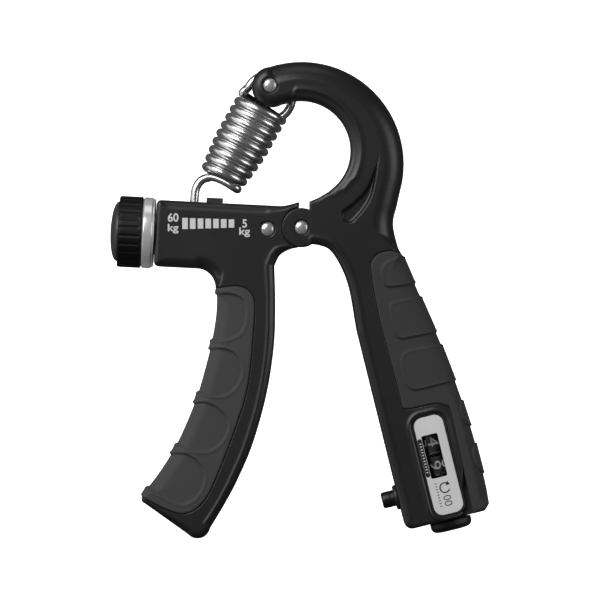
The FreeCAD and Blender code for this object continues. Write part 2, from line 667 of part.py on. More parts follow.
def make_main_spring():
    """A close-wound coil between a nearly closed upper loop and a lower hook, as one shape."""
    top, bottom = V(COIL_TOP[0], 0, COIL_TOP[1]), V(COIL_BOTTOM[0], 0, COIL_BOTTOM[1])
    down = (bottom - top).normalize()
    coil = coil_of(dim.coil_pitch, dim.coil_turns, dim.coil_radius, dim.wire_radius)
    coil.Placement = FreeCAD.Placement(top, FreeCAD.Rotation(V(0, 0, 1), down))

    x, z = LOOP_CENTRE
    loop = Part.makeTorus(dim.loop_radius, dim.wire_radius, V(x, 0, z), Y_AXIS, 0, 360, 300)
    loop.rotate(V(x, 0, z), Y_AXIS, 120)

    x, z = HOOK_PIN
    bend = dim.lower_hook_radius
    foot = bottom + V(-down.z, 0, down.x) * dim.coil_radius
    crest, shoulder = V(x + 1.6, 0, z + 11.3), V(x - bend + 0.6, 0, z + 6.6)
    path = Part.Wire([
        Part.LineSegment(foot, crest).toShape(),
        Part.Arc(crest, V(x - 1.5, 0, z + 10.2), shoulder).toShape(),
        Part.LineSegment(shoulder, V(x - bend, 0, z)).toShape(),
        Part.Arc(V(x - bend, 0, z), V(x, 0, z - bend), V(x + bend, 0, z)).toShape(),
    ])
    hook = tube_along(path, dim.wire_radius)
    spring = doc.addObject("Part::Feature", "main_spring_shape")
    spring.Shape = coil.fuse([loop, hook])
    keep(spring, "main_spring", PIVOT_FRAME)


# ---------------------------------------------------------------- counter, counter frame

def make_counter_housing():
    play = dim.module_play
    block = box("housing_block", "dims.module_width - 2 * dims.module_play",
                "dims.module_depth - 2 * dims.module_play",
                "dims.palm_bottom - dims.module_top - 2 * dims.module_play",
                (dim.module_left + play, play - dim.module_depth / 2, play - dim.palm_bottom))
    boss_body = new_body("housing_boss")
    outline = sketch_on(boss_body, "boss_outline")
    margin = dim.label_margin - dim.boss_play
    draw_round_box(outline, dim.label_left - margin, dim.label_left + dim.label_width + margin,
                   -dim.label_top - dim.label_length - margin, margin - dim.label_top,
                   dim.label_corner + margin)
    pad(boss_body, outline, "2 * dims.boss_front", "boss_pad")
    boss = cut("boss_front_half", boss_body,
               box("boss_back", "60", "20", "120", (0, -5, -120)))
    shell = fuse("housing_shell", block, boss)
    cell = box("counter_cell", "dims.cell_width", "2 * dims.cell_half_depth + 2", "dims.cell_length",
               (dim.cell_left, -dim.cell_half_depth, -dim.cell_top - dim.cell_length))
    window = box("housing_window", "dims.window_width", "5", "dims.window_length",
                 (dim.window_left, -11, -dim.window_top - dim.window_length))
    across = dim.counter_across
    axle = cylinder("axle_hole", "dims.axle_bore", "3", (across, 0, 0.2 - dim.axle_top), DOWN)
    reset = cylinder("reset_hole", "dims.reset_bore", "8", (across, 0, 4 - dim.palm_bottom), DOWN)
    rod = cylinder("rod_hole", "dims.rod_bore", "4", (dim.module_left - 1, 0, -dim.rod_down), ALONG_X)
    carry = cylinder("carry_hole", "dims.carry_axle_radius", "dims.cell_length + 1.2",
                     (dim.carry_across, dim.carry_deep, 0.6 - dim.cell_top), DOWN)
    screw = cylinder("housing_screw_hole", "dims.back_screw_radius", "6",
                     (across, 3, -dim.back_screw_down), ALONG_Y)
    keep(cut("housing", shell, cell, window, axle, reset, rod, carry, screw),
         "counter_housing", COUNTER_FRAME)

    cover = box("cover_plate", "dims.cell_width - 0.1", "dims.cover_thickness",
                "dims.cell_length - 0.1",
                (dim.cell_left + 0.05, dim.cell_half_depth - 0.05,
                 0.05 - dim.cell_top - dim.cell_length))
    keep(cover, "counter_back_cover", COUNTER_FRAME)


def make_faceplate_and_lens():
    body = new_body("faceplate")
    outline = sketch_on(body, "label_outline")
    draw_round_box(outline, dim.label_left, dim.label_left + dim.label_width,
                   -dim.label_top - dim.label_length, -dim.label_top, dim.label_corner)
    pad(body, outline, "2 * dims.boss_front + 2 * dims.label_thickness", "label_pad")
    behind = box("label_back", "60", "40", "120", (0, -dim.boss_front, -120))
    window = box("label_window", "dims.window_width", "4", "dims.window_length",
                 (dim.window_left, -dim.boss_front - 2, -dim.window_top - dim.window_length))
    keep(cut("label", body, behind, window), "counter_faceplate", COUNTER_FRAME)
    lens = box("lens", "dims.window_width", "dims.lens_thickness", "dims.window_length",
               (dim.window_left, -dim.boss_front, -dim.window_top - dim.window_length))
    keep(lens, "counter_lens", COUNTER_FRAME)


def make_number_wheels():
    across = dim.counter_across
    for name, top in (("tens_wheel", dim.tens_top), ("units_wheel", dim.units_top)):
        rim = cylinder(name + "_rim", "dims.wheel_radius", "dims.wheel_width", (across, 0, -top), DOWN)
        bore = cylinder(name + "_bore", "dims.axle_bore", "dims.wheel_width + 2",
                        (across, 0, 1 - top), DOWN)
        keep(cut(name, rim, bore), name, COUNTER_FRAME)


def make_toothed_wheel(name, centre, top, width, tip, depth, teeth, bore):
    """A small wheel with straight-flanked teeth, its axis along the palm handle."""
    body = new_body(name)
    outline = sketch_on(body, name + "_outline", "XY_Plane")
    outline.AttachmentOffset = FreeCAD.Placement(V(0, 0, -top), FreeCAD.Rotation())
    points = []
    for number in range(teeth):
        for radius, share in ((tip - depth, 0.0), (tip, 0.55), (tip, 0.75), (tip - depth, 0.95)):
            angle = math.tau * (number + share) / teeth
            points.append((centre[0] + radius * math.cos(angle),
                           centre[1] + radius * math.sin(angle)))
    draw(outline, points[0], [("line", point) for point in points[1:] + points[:1]])
    blank = body.newObject("PartDesign::Pad", name + "_pad")
    blank.Profile = outline
    blank.Reversed = True
    blank.setExpression("Length", f"dims.{width}")
    doc.recompute()
    hole = cylinder(name + "_hole", f"dims.{bore}", f"dims.{width} + 2", (*centre, 1 - top), DOWN)
    keep(cut(name, body, hole), name, COUNTER_FRAME)


def make_ratchet_and_carry():
    across = dim.counter_across
    make_toothed_wheel("ratchet_wheel", (across, 0), dim.units_top + dim.wheel_width,
                       "ratchet_width", dim.ratchet_radius, 1.0, int(dim.ratchet_teeth), "axle_bore")
    centre = (dim.carry_across, dim.carry_deep)
    make_toothed_wheel("carry_pinion", centre, dim.carry_top, "carry_width",
                       dim.carry_radius, 0.45, 6, "carry_bore")
    axle = cylinder("carry_pin", "dims.carry_axle_radius", "dims.cell_length + 1.1",
                    (*centre, 0.55 - dim.cell_top), DOWN)
    keep(axle, "carry_axle", COUNTER_FRAME)


def make_reset_knob():
    across = dim.counter_across
    disc = cylinder("reset_disc", "dims.reset_radius", "dims.reset_height",
                    (across, 0, -dim.reset_top), DOWN)
    shaft = cylinder("reset_shaft", "dims.reset_shaft", "dims.reset_top - dims.reset_shaft_top + 1",
                     (across, 0, -dim.reset_shaft_top), DOWN)
    blank = fuse("reset_blank", disc, shaft)
    rounded = doc.addObject("Part::Fillet", "reset_rounded")
    rounded.Base = blank
    lowest = min(vertex.Z for vertex in blank.Shape.Vertexes)
    rims = [number for number, edge in enumerate(blank.Shape.Edges, start=1)
            if edge.BoundBox.ZMax < lowest + 0.01]
    rounded.Edges = [(number, 1.4, 1.4) for number in rims]
    doc.recompute()
    socket = cylinder("reset_socket", "dims.axle_radius", "3", (across, 0, 1 - dim.reset_shaft_top),
                      DOWN)
    keep(cut("reset", rounded, socket), "reset_knob", COUNTER_FRAME)
    axle = cylinder("axle", "dims.axle_radius", "dims.reset_shaft_top - dims.axle_top + 1.9",
                    (across, 0, -dim.axle_top), DOWN)
    keep(axle, "counter_axle", COUNTER_FRAME)


def make_plunger():
    down = -dim.plunger_down
    head = cylinder("plunger_head", "dims.plunger_radius", "dims.plunger_shoulder - dims.plunger_tip",
                    (dim.plunger_tip, 0, down), ALONG_X)
    rod = cylinder("plunger_rod", "dims.rod_radius", "dims.rod_end - dims.plunger_tip - 1",
                   (dim.plunger_tip + 1, 0, -dim.rod_down), ALONG_X)
    keep(fuse("plunger", head, rod), "plunger", COUNTER_FRAME)

    # the pawl is a flat hook behind the rod that reaches past the back of the ratchet wheel
    wide = 1.1
    side = box("pawl_side", "1.1", "dims.pawl_deep - dims.rod_radius + dims.pawl_thickness", "2.2",
               (dim.rod_end - wide, dim.rod_radius - 0.15, -dim.rod_down - wide))
    finger = box("pawl_finger", "dims.pawl_end - dims.rod_end + 1", "dims.pawl_thickness", "4.2",
                 (dim.rod_end - 1, dim.pawl_deep - 0.15, -dim.rod_down - wide))
    room = cylinder("pawl_room", "dims.rod_radius", "6", (dim.rod_end - 3, 0, -dim.rod_down), ALONG_X)
    keep(cut("pawl", fuse("pawl_blank", side, finger), room), "pawl", COUNTER_FRAME)

    flange = cylinder("collar_flange", "dims.collar_radius", "dims.palm_inner - dims.collar_start",
                      (dim.collar_start, 0, down), ALONG_X)
    sleeve = cylinder("collar_sleeve", "dims.sleeve_radius", "dims.module_left - dims.collar_start",
                      (dim.collar_start, 0, down), ALONG_X)
    bore = cylinder("collar_bore", "dims.plunger_bore", "12", (dim.collar_start - 2, 0, down), ALONG_X)
    keep(cut("collar", fuse("collar_blank", flange, sleeve), bore), "plunger_collar", COUNTER_FRAME)

    free = dim.module_left + dim.module_play - dim.plunger_shoulder
    wire = dim.plunger_wire
    pitch = (free - 2 * wire - 0.1) / dim.plunger_turns
    coil = coil_of(pitch, dim.plunger_turns, dim.plunger_coil_radius, wire)
    coil.Placement = FreeCAD.Placement(V(dim.plunger_shoulder + wire + 0.05, 0, down), ALONG_X)
    spring = doc.addObject("Part::Feature", "plunger_spring_shape")
    spring.Shape = Part.makeCompound([coil])
    keep(spring, "plunger_spring", COUNTER_FRAME)


def make_housing_screw():
    across, half, down = dim.counter_across, dim.arm_width / 2, -dim.back_screw_down
    shank = cylinder("housing_screw_shank", "dims.back_screw_radius", "6.7", (across, 3.1, down),
                     ALONG_Y)
    neck = cylinder("housing_screw_head", "dims.back_screw_head", "1.9", (across, half - 2.1, down),
                    ALONG_Y)
    keep(fuse("housing_screw_blank", shank, neck), "housing_screw", COUNTER_FRAME)


# ---------------------------------------------------------------- build and write

def write_parts():
    """Checks every object and sub-part, then writes one STEP file per sub-part."""
    doc.recompute()
    failed = [thing.Name for thing in doc.Objects
              if any(word in thing.State for word in ("Invalid", "Error"))]
    if failed:
        raise RuntimeError(f"failed objects: {failed}")
    for part in subparts:
        if part.Shape.isNull() or not part.Shape.isValid():
            raise RuntimeError(f"{part.Label} has no valid shape")
    os.makedirs("parts", exist_ok=True)
    for part in subparts:
        part.Shape.exportStep(f"parts/{part.Label}.step")
        print(f"{part.Label:22s} {part.Shape.Volume:10.1f} mm3, {len(part.Shape.Solids)} solid(s)")


make_hook_arm()
make_palm_grip()
make_finger_arm()
make_finger_grip()
make_rivet("pivot_rivet", (0, 0), "pivot_shank")
make_rivet("upper_spring_rivet", HOOK_RIVET, "rivet_shank")
make_rivet("screw_retaining_rivet", SCREW_RIVET, "rivet_shank")
make_pivot_bush()
make_tension_knob()
make_knob_cap()
make_ring_and_washer()
make_adjusting_screw()
make_slider()
make_main_spring()
make_counter_housing()
make_faceplate_and_lens()
make_number_wheels()
make_ratchet_and_carry()
make_reset_knob()
make_plunger()
make_housing_screw()
write_parts()
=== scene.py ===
"""Looks of the adjustable hand gripper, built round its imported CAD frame.

Shapes are worked out in millimetres in three frames that come from the joints of the CAD model:
  pivot frame    origin on the main hinge, x to the palm handle, z up, y away from the front
  barrel frame   origin at the barrel's open end, x along the lead screw
  counter frame  origin on the main hinge, x across the palm handle, z up along it
The two arms and the two soft grips are distance fields, meshed by OpenVDB.
"""

import json
import math

import bmesh
import bpy
import numpy as np
import openvdb
from mathutils import Matrix, Vector


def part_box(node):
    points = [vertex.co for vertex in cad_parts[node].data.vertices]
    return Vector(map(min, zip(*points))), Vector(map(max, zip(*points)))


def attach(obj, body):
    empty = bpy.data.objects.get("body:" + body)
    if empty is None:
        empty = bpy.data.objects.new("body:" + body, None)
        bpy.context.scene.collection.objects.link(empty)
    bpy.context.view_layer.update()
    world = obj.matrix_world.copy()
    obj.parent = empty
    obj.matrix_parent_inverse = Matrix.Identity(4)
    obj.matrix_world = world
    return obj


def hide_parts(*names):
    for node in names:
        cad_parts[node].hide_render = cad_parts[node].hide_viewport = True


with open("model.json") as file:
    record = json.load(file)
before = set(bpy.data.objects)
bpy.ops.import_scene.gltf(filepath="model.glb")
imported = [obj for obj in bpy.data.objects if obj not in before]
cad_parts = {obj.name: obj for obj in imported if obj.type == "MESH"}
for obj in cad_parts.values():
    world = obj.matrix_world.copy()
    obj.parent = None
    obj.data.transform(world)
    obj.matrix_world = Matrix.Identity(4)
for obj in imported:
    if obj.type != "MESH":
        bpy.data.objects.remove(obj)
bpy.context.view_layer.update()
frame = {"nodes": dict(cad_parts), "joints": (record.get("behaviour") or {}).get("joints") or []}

MM = 0.001
VOXEL = 0.3
COARSE = 1       # how many times fewer steps the spring's line has

# ---------------------------------------------------------------- frames

joints = {joint["name"]: joint for joint in frame["joints"]}
PIVOT = Matrix.Translation(Vector(joints["handle_squeeze"]["pos_m"]))
screw_axis = Vector(joints["knob_turn"]["axis"])
BARREL_TILT = math.atan2(-screw_axis.z, screw_axis.x)
wheel_axis = Vector(joints["units_wheel_turn"]["axis"])
PALM_TILT = math.atan2(wheel_axis.x, -wheel_axis.z)
BARREL = Matrix.Translation(Vector(joints["knob_turn"]["pos_m"])) @ Matrix.Rotation(BARREL_TILT, 4, "Y")
COUNTER = PIVOT @ Matrix.Rotation(-PALM_TILT, 4, "Y")


def centre_of(node):
    low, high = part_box(node)
    return (low + high) / 2


def in_pivot_frame(point):
    """A place in the row frame, as (x, z) in millimetres from the main hinge."""
    local = (PIVOT.inverted() @ Vector(point)) / MM
    return local.x, local.z


HOOK_RIVET = in_pivot_frame(centre_of("upper_spring_rivet"))
SCREW_RIVET = in_pivot_frame(centre_of("screw_retaining_rivet"))
HOOK_PIN = in_pivot_frame(centre_of("lower_spring_pin"))
BARREL_END = in_pivot_frame(BARREL.translation)


def from_counter(across, down):
    turn = PALM_TILT
    return (across * math.cos(turn) + down * math.sin(turn),
            across * math.sin(turn) - down * math.cos(turn))


def from_barrel(along, up):
    turn = BARREL_TILT
    return (BARREL_END[0] + along * math.cos(turn) + up * math.sin(turn),
            BARREL_END[1] - along * math.sin(turn) + up * math.cos(turn))


def on_circle(radius, angle):
    turn = math.radians(angle)
    return (radius * math.cos(turn), radius * math.sin(turn))


# ---------------------------------------------------------------- sizes, millimetres

HALF = 10.0               # arms' half width
CORE_HALF = 7.4
GRIP_HALF = 10.25
KNUCKLE = 6.3
KNUCKLE_GAP = 6.4
TONGUE_HALF = 3.9
FORK_HALF = 3.95
SINK_RADIUS = 2.5
SINK_FLOOR = 9.0
BARREL_HALF = 10.7
COUNTER_ACROSS = 23.9
PALM_BOTTOM = 102.4
PALM_INNER = 9.25
GRIP_END = 31.5           # where the soft grip starts at the palm handle's bottom
LABEL = (19.6, 29.2, 68.5, 100.5)     # left, right, top, bottom in the counter frame
LABEL_CORNER = 2.9
WINDOW = (21.1, 26.4, 74.3, 88.4)
LABEL_FRONT = -9.6
WIRE = 1.3
RIDGE_INSET = 0.78        # of the rim's width
RIDGE_SPREAD = 0.7
HOOK_RUN = 32.0           # length of wire in the spring's lower hook, which doesn't stretch
LOOP_STEPS = 60
COIL_STEPS = 420


def brim(radius, width=0.1, fall=0.0, ridge=0.0):
    """How an edge is finished: its radius, the width and fall of its sloping rim, a ridge's height."""
    return (radius, width, fall, ridge)


SOFT = brim(7.0)
CRISP = brim(0.35)
FLAT = brim(0.12)
RIM = brim(1.5, 4.4, 0.5, 0.4)
SLIM_RIM = brim(1.4, 2.6, 0.5, 0.3)
PALM_RIM = brim(1.2, 2.6, 0.4, 0.3)


# ---------------------------------------------------------------- outlines

def smooth_run(points, steps=9):
    """A Catmull-Rom line through the points."""
    points = [np.array(point, float) for point in points]
    ghost = [2 * points[0] - points[1]] + points + [2 * points[-1] - points[-2]]
    line = []
    for a, b, c, d in zip(ghost, ghost[1:], ghost[2:], ghost[3:]):
        for step in range(1, steps + 1):
            t = step / steps
            line.append(0.5 * (2 * b + (c - a) * t + (2 * a - 5 * b + 4 * c - d) * t ** 2
                               + (3 * b - a - 3 * c + d) * t ** 3))
    return line


def arc_run(start, middle, end, steps=24):
    """The circular arc from start through middle to end."""
    (ax, ay), (bx, by), (cx, cy) = start, middle, end
    scale = 2 * (ax * (by - cy) + bx * (cy - ay) + cx * (ay - by))
    sa, sb, sc = ax * ax + ay * ay, bx * bx + by * by, cx * cx + cy * cy
    ux = (sa * (by - cy) + sb * (cy - ay) + sc * (ay - by)) / scale
    uy = (sa * (cx - bx) + sb * (ax - cx) + sc * (bx - ax)) / scale
    first = math.atan2(ay - uy, ax - ux)
    radius = math.hypot(ax - ux, ay - uy)
    through = (math.atan2(by - uy, bx - ux) - first) % math.tau
    whole = (math.atan2(cy - uy, cx - ux) - first) % math.tau
    sweep = whole if through < whole else whole - math.tau
    return [np.array((ux + radius * math.cos(first + sweep * step / steps),
                      uy + radius * math.sin(first + sweep * step / steps)))
            for step in range(1, steps + 1)]


class Outline:
    """A closed outline whose stretches each say how their edge is finished."""

    def __init__(self, *start):
        self.points = [np.array(start, float)]
        self.finish = []

    def _add(self, points, finish):
        self.points += points
        self.finish += [finish] * len(points)
        return self

    def line(self, *points, finish=CRISP):
        return self._add([np.array(point, float) for point in points], finish)

    def curve(self, *points, finish=CRISP):
        return self._add(smooth_run([self.points[-1], *points]), finish)

    def arc(self, middle, end, finish=CRISP):
        return self._add(arc_run(self.points[-1], middle, end), finish)


PALM_BOUNDARY = [(28.6, -7.5), (24.8, -8.4), (22.7, -10.6), (22.3, -13.7), (24.8, -28.0),
                 (31.5, -53.6), (32.0, -56.8), (34.0, -58.2), (42.7, -56.5), (46.2, -57.1),
                 (47.9, -59.0), (51.3, -74.5)]
PALM_EDGE = [(32.3, -8.5), (36.95, -19.3), (43.65, -34.6), (49.65, -50.0), (54.75, -65.3),
             (58.85, -80.8)]
FINGER_BOUNDARY = [(-20.6, -18.9), (-16.7, -20.6), (-15.1, -24.6), (-15.6, -34.8),
                   (-17.2, -50.1), (-20.6, -62.4), (-27.9, -81.4), (-32.2, -88.7),
                   (-37.1, -91.6), (-42.6, -90.6), (-51.4, -86.2)]
FINGER_EDGE = [(-28.0, -28.0), (-29.6, -37.6), (-31.9, -46.6), (-34.1, -54.0),
               (-37.4, -62.4), (-41.5, -71.0), (-46.8, -79.2), (-51.2, -84.9)]


def hook_outline():
    grip_end = from_counter(GRIP_END, PALM_BOTTOM)
    outline = Outline(2.5, 8.3)
    outline.curve((5.5, 9.6), (8.6, 11.4), finish=brim(1.2))
    outline.arc((9.87, 12.47), (11.11, 13.59), finish=brim(1.4, 2.5, 0.15, 0.1))
    outline.arc((12.49, 15.16), (13.66, 16.9), finish=brim(1.4, 3.5, 0.3, 0.25))
    outline.arc((15.8, 24.9), (-1.9, 40.8), finish=RIM)
    outline.line((-6.4, 39.7), finish=brim(3.2))
    outline.arc((-15.9, 44.4), (-10.5, 51.6), finish=brim(3.3))
    outline.arc((22.9, 44.1), (32.5, 14.9), finish=SOFT)
    outline.curve((30.8, 7.4), (29.5, 1.2), (31.0, -6.0), (32.3, -8.5), finish=SOFT)
    outline.curve(*PALM_BOUNDARY, grip_end)
    outline.line(from_counter(PALM_INNER + 2.5, PALM_BOTTOM), finish=brim(1.2))
    outline.arc(from_counter(PALM_INNER + 0.75, PALM_BOTTOM - 0.75),
                from_counter(PALM_INNER, PALM_BOTTOM - 2.5), finish=brim(1.6, 1.6, 0.5))
    outline.line(from_counter(PALM_INNER, 36.3), finish=PALM_RIM)
    outline.curve((15.3, -19.5), (12.4, -11.9), (9.2, -7.2), (6.0, -5.7), on_circle(KNUCKLE, -57),
                  finish=SLIM_RIM)
    outline.arc(on_circle(KNUCKLE, 180), on_circle(KNUCKLE, 66.2), finish=FLAT)
    outline.line((2.5, 8.3))
    return outline


def finger_outline():
    soft_barrel, end = brim(3.2), brim(1.2)
    outline = Outline(-0.7, 8.2)
    outline.line((-0.7, math.sqrt(KNUCKLE_GAP ** 2 - 0.49)))
    outline.arc(on_circle(KNUCKLE_GAP, 180), on_circle(KNUCKLE_GAP, -96), finish=FLAT)
    outline.curve((-3.6, -6.9), (-6.9, -8.8), (-8.7, -12.2), finish=SLIM_RIM)
    outline.curve((-8.4, -25.2), (-8.9, -38.7), (-11.3, -54.0), (-15.6, -69.4), (-20.6, -81.2),
                  (-25.0, -89.4), (-29.3, -96.5), finish=SLIM_RIM)
    outline.arc((-32.2, -99.6), (-36.3, -98.5), finish=brim(2.2))
    outline.line((-51.2, -87.9), finish=brim(2.6))
    outline.line(FINGER_BOUNDARY[-1], finish=brim(2.0))
    outline.curve(*reversed([(-27.6, -19.6)] + FINGER_BOUNDARY[:-1]))
    outline.arc((-29.1, -15.3), from_barrel(13.9, -BARREL_HALF), finish=brim(4.6))
    outline.line(from_barrel(1.6, -BARREL_HALF), finish=soft_barrel)
    outline.arc(from_barrel(0.47, 0.47 - BARREL_HALF), from_barrel(0.0, 1.6 - BARREL_HALF), finish=end)
    outline.line(from_barrel(0.0, BARREL_HALF - 1.6), finish=end)
    outline.arc(from_barrel(0.47, BARREL_HALF - 0.47), from_barrel(1.6, BARREL_HALF), finish=end)
    outline.line(from_barrel(36.0, BARREL_HALF), finish=soft_barrel)
    outline.curve((-5.6, 7.0), (-0.7, 8.2), finish=brim(2.4))
    return outline


def palm_core_outline():
    outline = Outline(20.5, -13.0)
    outline.line((26.0, -9.6), (29.6, -10.4))
    outline.curve((40.7, -36.0), (51.8, -66.4), from_counter(34.6, PALM_BOTTOM))
    outline.line(from_counter(13.5, PALM_BOTTOM), (29.0, -58.0), (20.5, -13.0))
    return outline


def finger_core_outline():
    outline = Outline(-13.5, -20.5)
    outline.line((-25.1, -20.5))
    outline.curve((-26.4, -37.2), (-30.8, -53.6), (-38.0, -71.0), (-47.0, -85.2))
    outline.line((-36.0, -94.5), (-28.5, -88.0), (-14.5, -50.0), (-13.5, -20.5))
    return outline


def palm_grip_outline():
    outline = Outline(*from_counter(GRIP_END + 0.1, PALM_BOTTOM - 0.1))
    outline.curve(*reversed(PALM_BOUNDARY), PALM_EDGE[0], finish=brim(0.45))
    outline.curve(*PALM_EDGE[1:], from_counter(37.3, PALM_BOTTOM - 2.0), finish=brim(5.6))
    outline.line(from_counter(35.3, PALM_BOTTOM - 0.1), finish=brim(2.0))
    outline.line(from_counter(GRIP_END + 0.1, PALM_BOTTOM - 0.1), finish=brim(1.2))
    return outline


def finger_grip_outline():
    outline = Outline(-27.7, -19.6)
    outline.curve(*FINGER_BOUNDARY, finish=brim(0.45))
    outline.curve(*reversed(FINGER_EDGE), (-27.7, -19.6), finish=brim(5.2))
    return outline


def rounded(points, turns=2, share=0.25):
    """Cuts the corners of a closed outline again and again, which rounds them."""
    points = [np.array(point, float) for point in points]
    for _ in range(turns):
        points = [spot for a, b in zip(points, points[1:] + points[:1])
                  for spot in (a + share * (b - a), b - share * (b - a))]
    outline = Outline(*points[0])
    outline.line(*points[1:], points[0])
    return outline


def crescent():
    outline = Outline(25.0, 23.6)
    outline.curve((21.1, 13.2), (17.2, 8.6), (13.3, 5.5))
    outline.arc((13.2, 2.4), (16.6, 1.8))
    outline.curve((19.9, 5.5), (22.9, 11.2), (25.0, 23.6))
    return outline


# raised pads of the palm grip and finger rests of the finger grip, open past the outer edge
PALM_PADS = [
    [(25.2, -14.1), (26.5, -11.6), (28.6, -10.3), (33.1, -9.1), (38.0, -8.0), (42.0, -16.9),
     (36.5, -17.9), (28.6, -19.3), (26.5, -18.6)],
    [(28.1, -24.8), (28.9, -24.0), (38.5, -22.0), (44.0, -20.9), (48.0, -32.5), (43.3, -33.5),
     (33.4, -35.6), (31.7, -35.8), (30.0, -34.2), (28.6, -28.6)],
    [(31.6, -42.2), (32.7, -40.1), (35.5, -39.1), (45.1, -37.5), (50.0, -36.6), (54.0, -48.1),
     (49.4, -49.0), (36.9, -52.3), (34.8, -51.9), (33.1, -49.5)],
    [(49.8, -55.8), (56.0, -54.3), (59.0, -62.3), (52.8, -64.4)],
    [(54.0, -69.6), (60.0, -68.2), (64.0, -77.6), (57.2, -79.8)],
]
FINGER_RESTS = [
    [(-34.0, -21.5), (-27.3, -21.5), (-23.0, -21.1), (-18.7, -22.6), (-17.6, -26.3),
     (-18.1, -31.8), (-20.6, -34.8), (-24.9, -36.1), (-27.9, -35.8), (-34.0, -35.4)],
    [(-36.0, -39.8), (-28.8, -39.1), (-26.1, -38.7), (-21.8, -39.7), (-19.3, -43.4),
     (-19.0, -47.1), (-20.6, -50.8), (-24.2, -53.8), (-27.9, -54.1), (-31.9, -52.9),
     (-38.0, -51.2)],
    [(-41.0, -57.2), (-33.7, -56.3), (-30.4, -56.0), (-26.1, -58.1), (-23.3, -61.8),
     (-23.6, -65.4), (-26.1, -69.7), (-30.4, -72.0), (-34.7, -71.6), (-39.2, -69.7),
     (-46.0, -67.0)],
    [(-47.0, -73.0), (-40.4, -72.5), (-37.1, -72.5), (-33.4, -74.6), (-30.8, -78.3),
     (-31.3, -82.6), (-33.4, -86.3), (-37.1, -88.8), (-40.2, -88.4), (-48.1, -84.1),
     (-54.0, -80.5)],
]


# ---------------------------------------------------------------- distance fields

class Grid:
    """A block of space round an arm: x and z are planes, y runs through the thickness."""

    def __init__(self, low, high, half, voxel):
        self.voxel = voxel
        self.origin = (low[0], -half, low[1])
        self.x = np.arange(low[0], high[0], voxel, dtype=np.float32)
        self.y = np.arange(-half, half + voxel, voxel, dtype=np.float32)
        self.z = np.arange(low[1], high[1], voxel, dtype=np.float32)
        self.X, self.Z = np.meshgrid(self.x, self.z, indexing="ij")

    def solid(self, plane):
        return plane[:, None, :]

    def deep(self):
        return self.y[None, :, None]


def soften(field, turns):
    for _ in range(turns):
        edge = np.pad(field, 1, mode="edge")
        field = (field + edge[2:, 1:-1] + edge[:-2, 1:-1] + edge[1:-1, 2:] + edge[1:-1, :-2]) / 5
    return field


def measure(outline, grid):
    """Signed distance to an outline, and its nearest edge's finish, over the grid's plane."""
    nearest = np.full(grid.X.shape, 1e9, np.float32)
    index = np.zeros(grid.X.shape, np.int32)
    inside = np.zeros(grid.X.shape, bool)
    for number, (a, b) in enumerate(zip(outline.points, outline.points[1:])):
        run = b - a
        long = float(run @ run)
        if long < 1e-12:
            continue
        px, pz = grid.X - np.float32(a[0]), grid.Z - np.float32(a[1])
        share = np.clip((px * run[0] + pz * run[1]) / long, 0, 1)
        away = (px - share * run[0]) ** 2 + (pz - share * run[1]) ** 2
        closer = away < nearest
        nearest = np.where(closer, away, nearest)
        index = np.where(closer, number, index)
        if a[1] != b[1]:
            crosses = (a[1] > grid.Z) != (b[1] > grid.Z)
            inside ^= crosses & (grid.X < a[0] + (grid.Z - a[1]) / (b[1] - a[1]) * run[0])
    distance = np.sqrt(nearest) * np.where(inside, -1, 1)
    finish = np.array(outline.finish, np.float32)[index]
    turns = int(3.0 / grid.voxel)
    return distance.astype(np.float32), [soften(finish[..., part], turns) for part in range(4)]


def slab(grid, outline, half, plain=False):
    """A plate of the outline whose edges are rounded and sloped as the outline says."""
    distance, (radius, width, fall, ridge) = measure(outline, grid)
    if plain:
        return np.maximum(grid.solid(distance), np.abs(grid.deep()) - half)
    height = half - fall * np.clip((width + distance) / width, 0, 1)
    height += ridge * np.exp(-((distance + RIDGE_INSET * width) / RIDGE_SPREAD) ** 2)
    radius = grid.solid(radius)
    across = grid.solid(distance) + radius
    up = np.abs(grid.deep()) - grid.solid(height) + radius
    return (np.hypot(np.maximum(across, 0), np.maximum(up, 0))
            + np.minimum(np.maximum(across, up), 0) - radius)


def step(value):
    """0 below 0, 1 above 1, smooth between."""
    value = np.clip(value, 0, 1)
    return value * value * (3 - 2 * value)


def ring_distance(grid, centre):
    return np.hypot(grid.X - centre[0], grid.Z - centre[1])


def round_box(across, down, box, corner):
    """Distance to a rectangle with round corners; box is left, right, top, bottom."""
    left, right, top, bottom = box
    dx = np.abs(across - (left + right) / 2) - (right - left) / 2 + corner
    dz = np.abs(down - (top + bottom) / 2) - (bottom - top) / 2 + corner
    return np.hypot(np.maximum(dx, 0), np.maximum(dz, 0)) + np.minimum(np.maximum(dx, dz), 0) - corner


def sink_rivet(field, grid, centre):
    """Cuts a round sink for a rivet head in both faces."""
    hole = np.maximum(grid.solid(ring_distance(grid, centre)) - SINK_RADIUS,
                      SINK_FLOOR - np.abs(grid.deep()))
    return np.maximum(field, -hole)


def new_object(name, vertices, faces, place=Matrix.Identity(4), smooth=True):
    """A mesh object whose vertices, in millimetres of a frame, stand in the row frame."""
    mesh = bpy.data.meshes.new(name)
    vertices = np.asarray(vertices, float) * MM
    turn = np.array(place.to_3x3())
    vertices = vertices @ turn.T + np.array(place.translation)
    mesh.from_pydata(vertices.tolist(), [], [list(face) for face in faces])
    mesh.validate()
    if smooth:
        mesh.polygons.foreach_set("use_smooth", [True] * len(mesh.polygons))
    thing = bpy.data.objects.new(name, mesh)
    bpy.context.scene.collection.objects.link(thing)
    return thing


def mesh_field(name, field, grid, place):
    """Meshes the surface where a field is zero."""
    reach = 3 * grid.voxel
    volume = openvdb.FloatGrid(reach)
    volume.copyFromArray(np.ascontiguousarray(np.clip(field, -reach, reach), dtype=np.float32))
    points, quads = volume.convertToQuads(0.0)
    points = points * grid.voxel + np.array(grid.origin)
    return new_object(name, points, quads, place)


# ---------------------------------------------------------------- materials

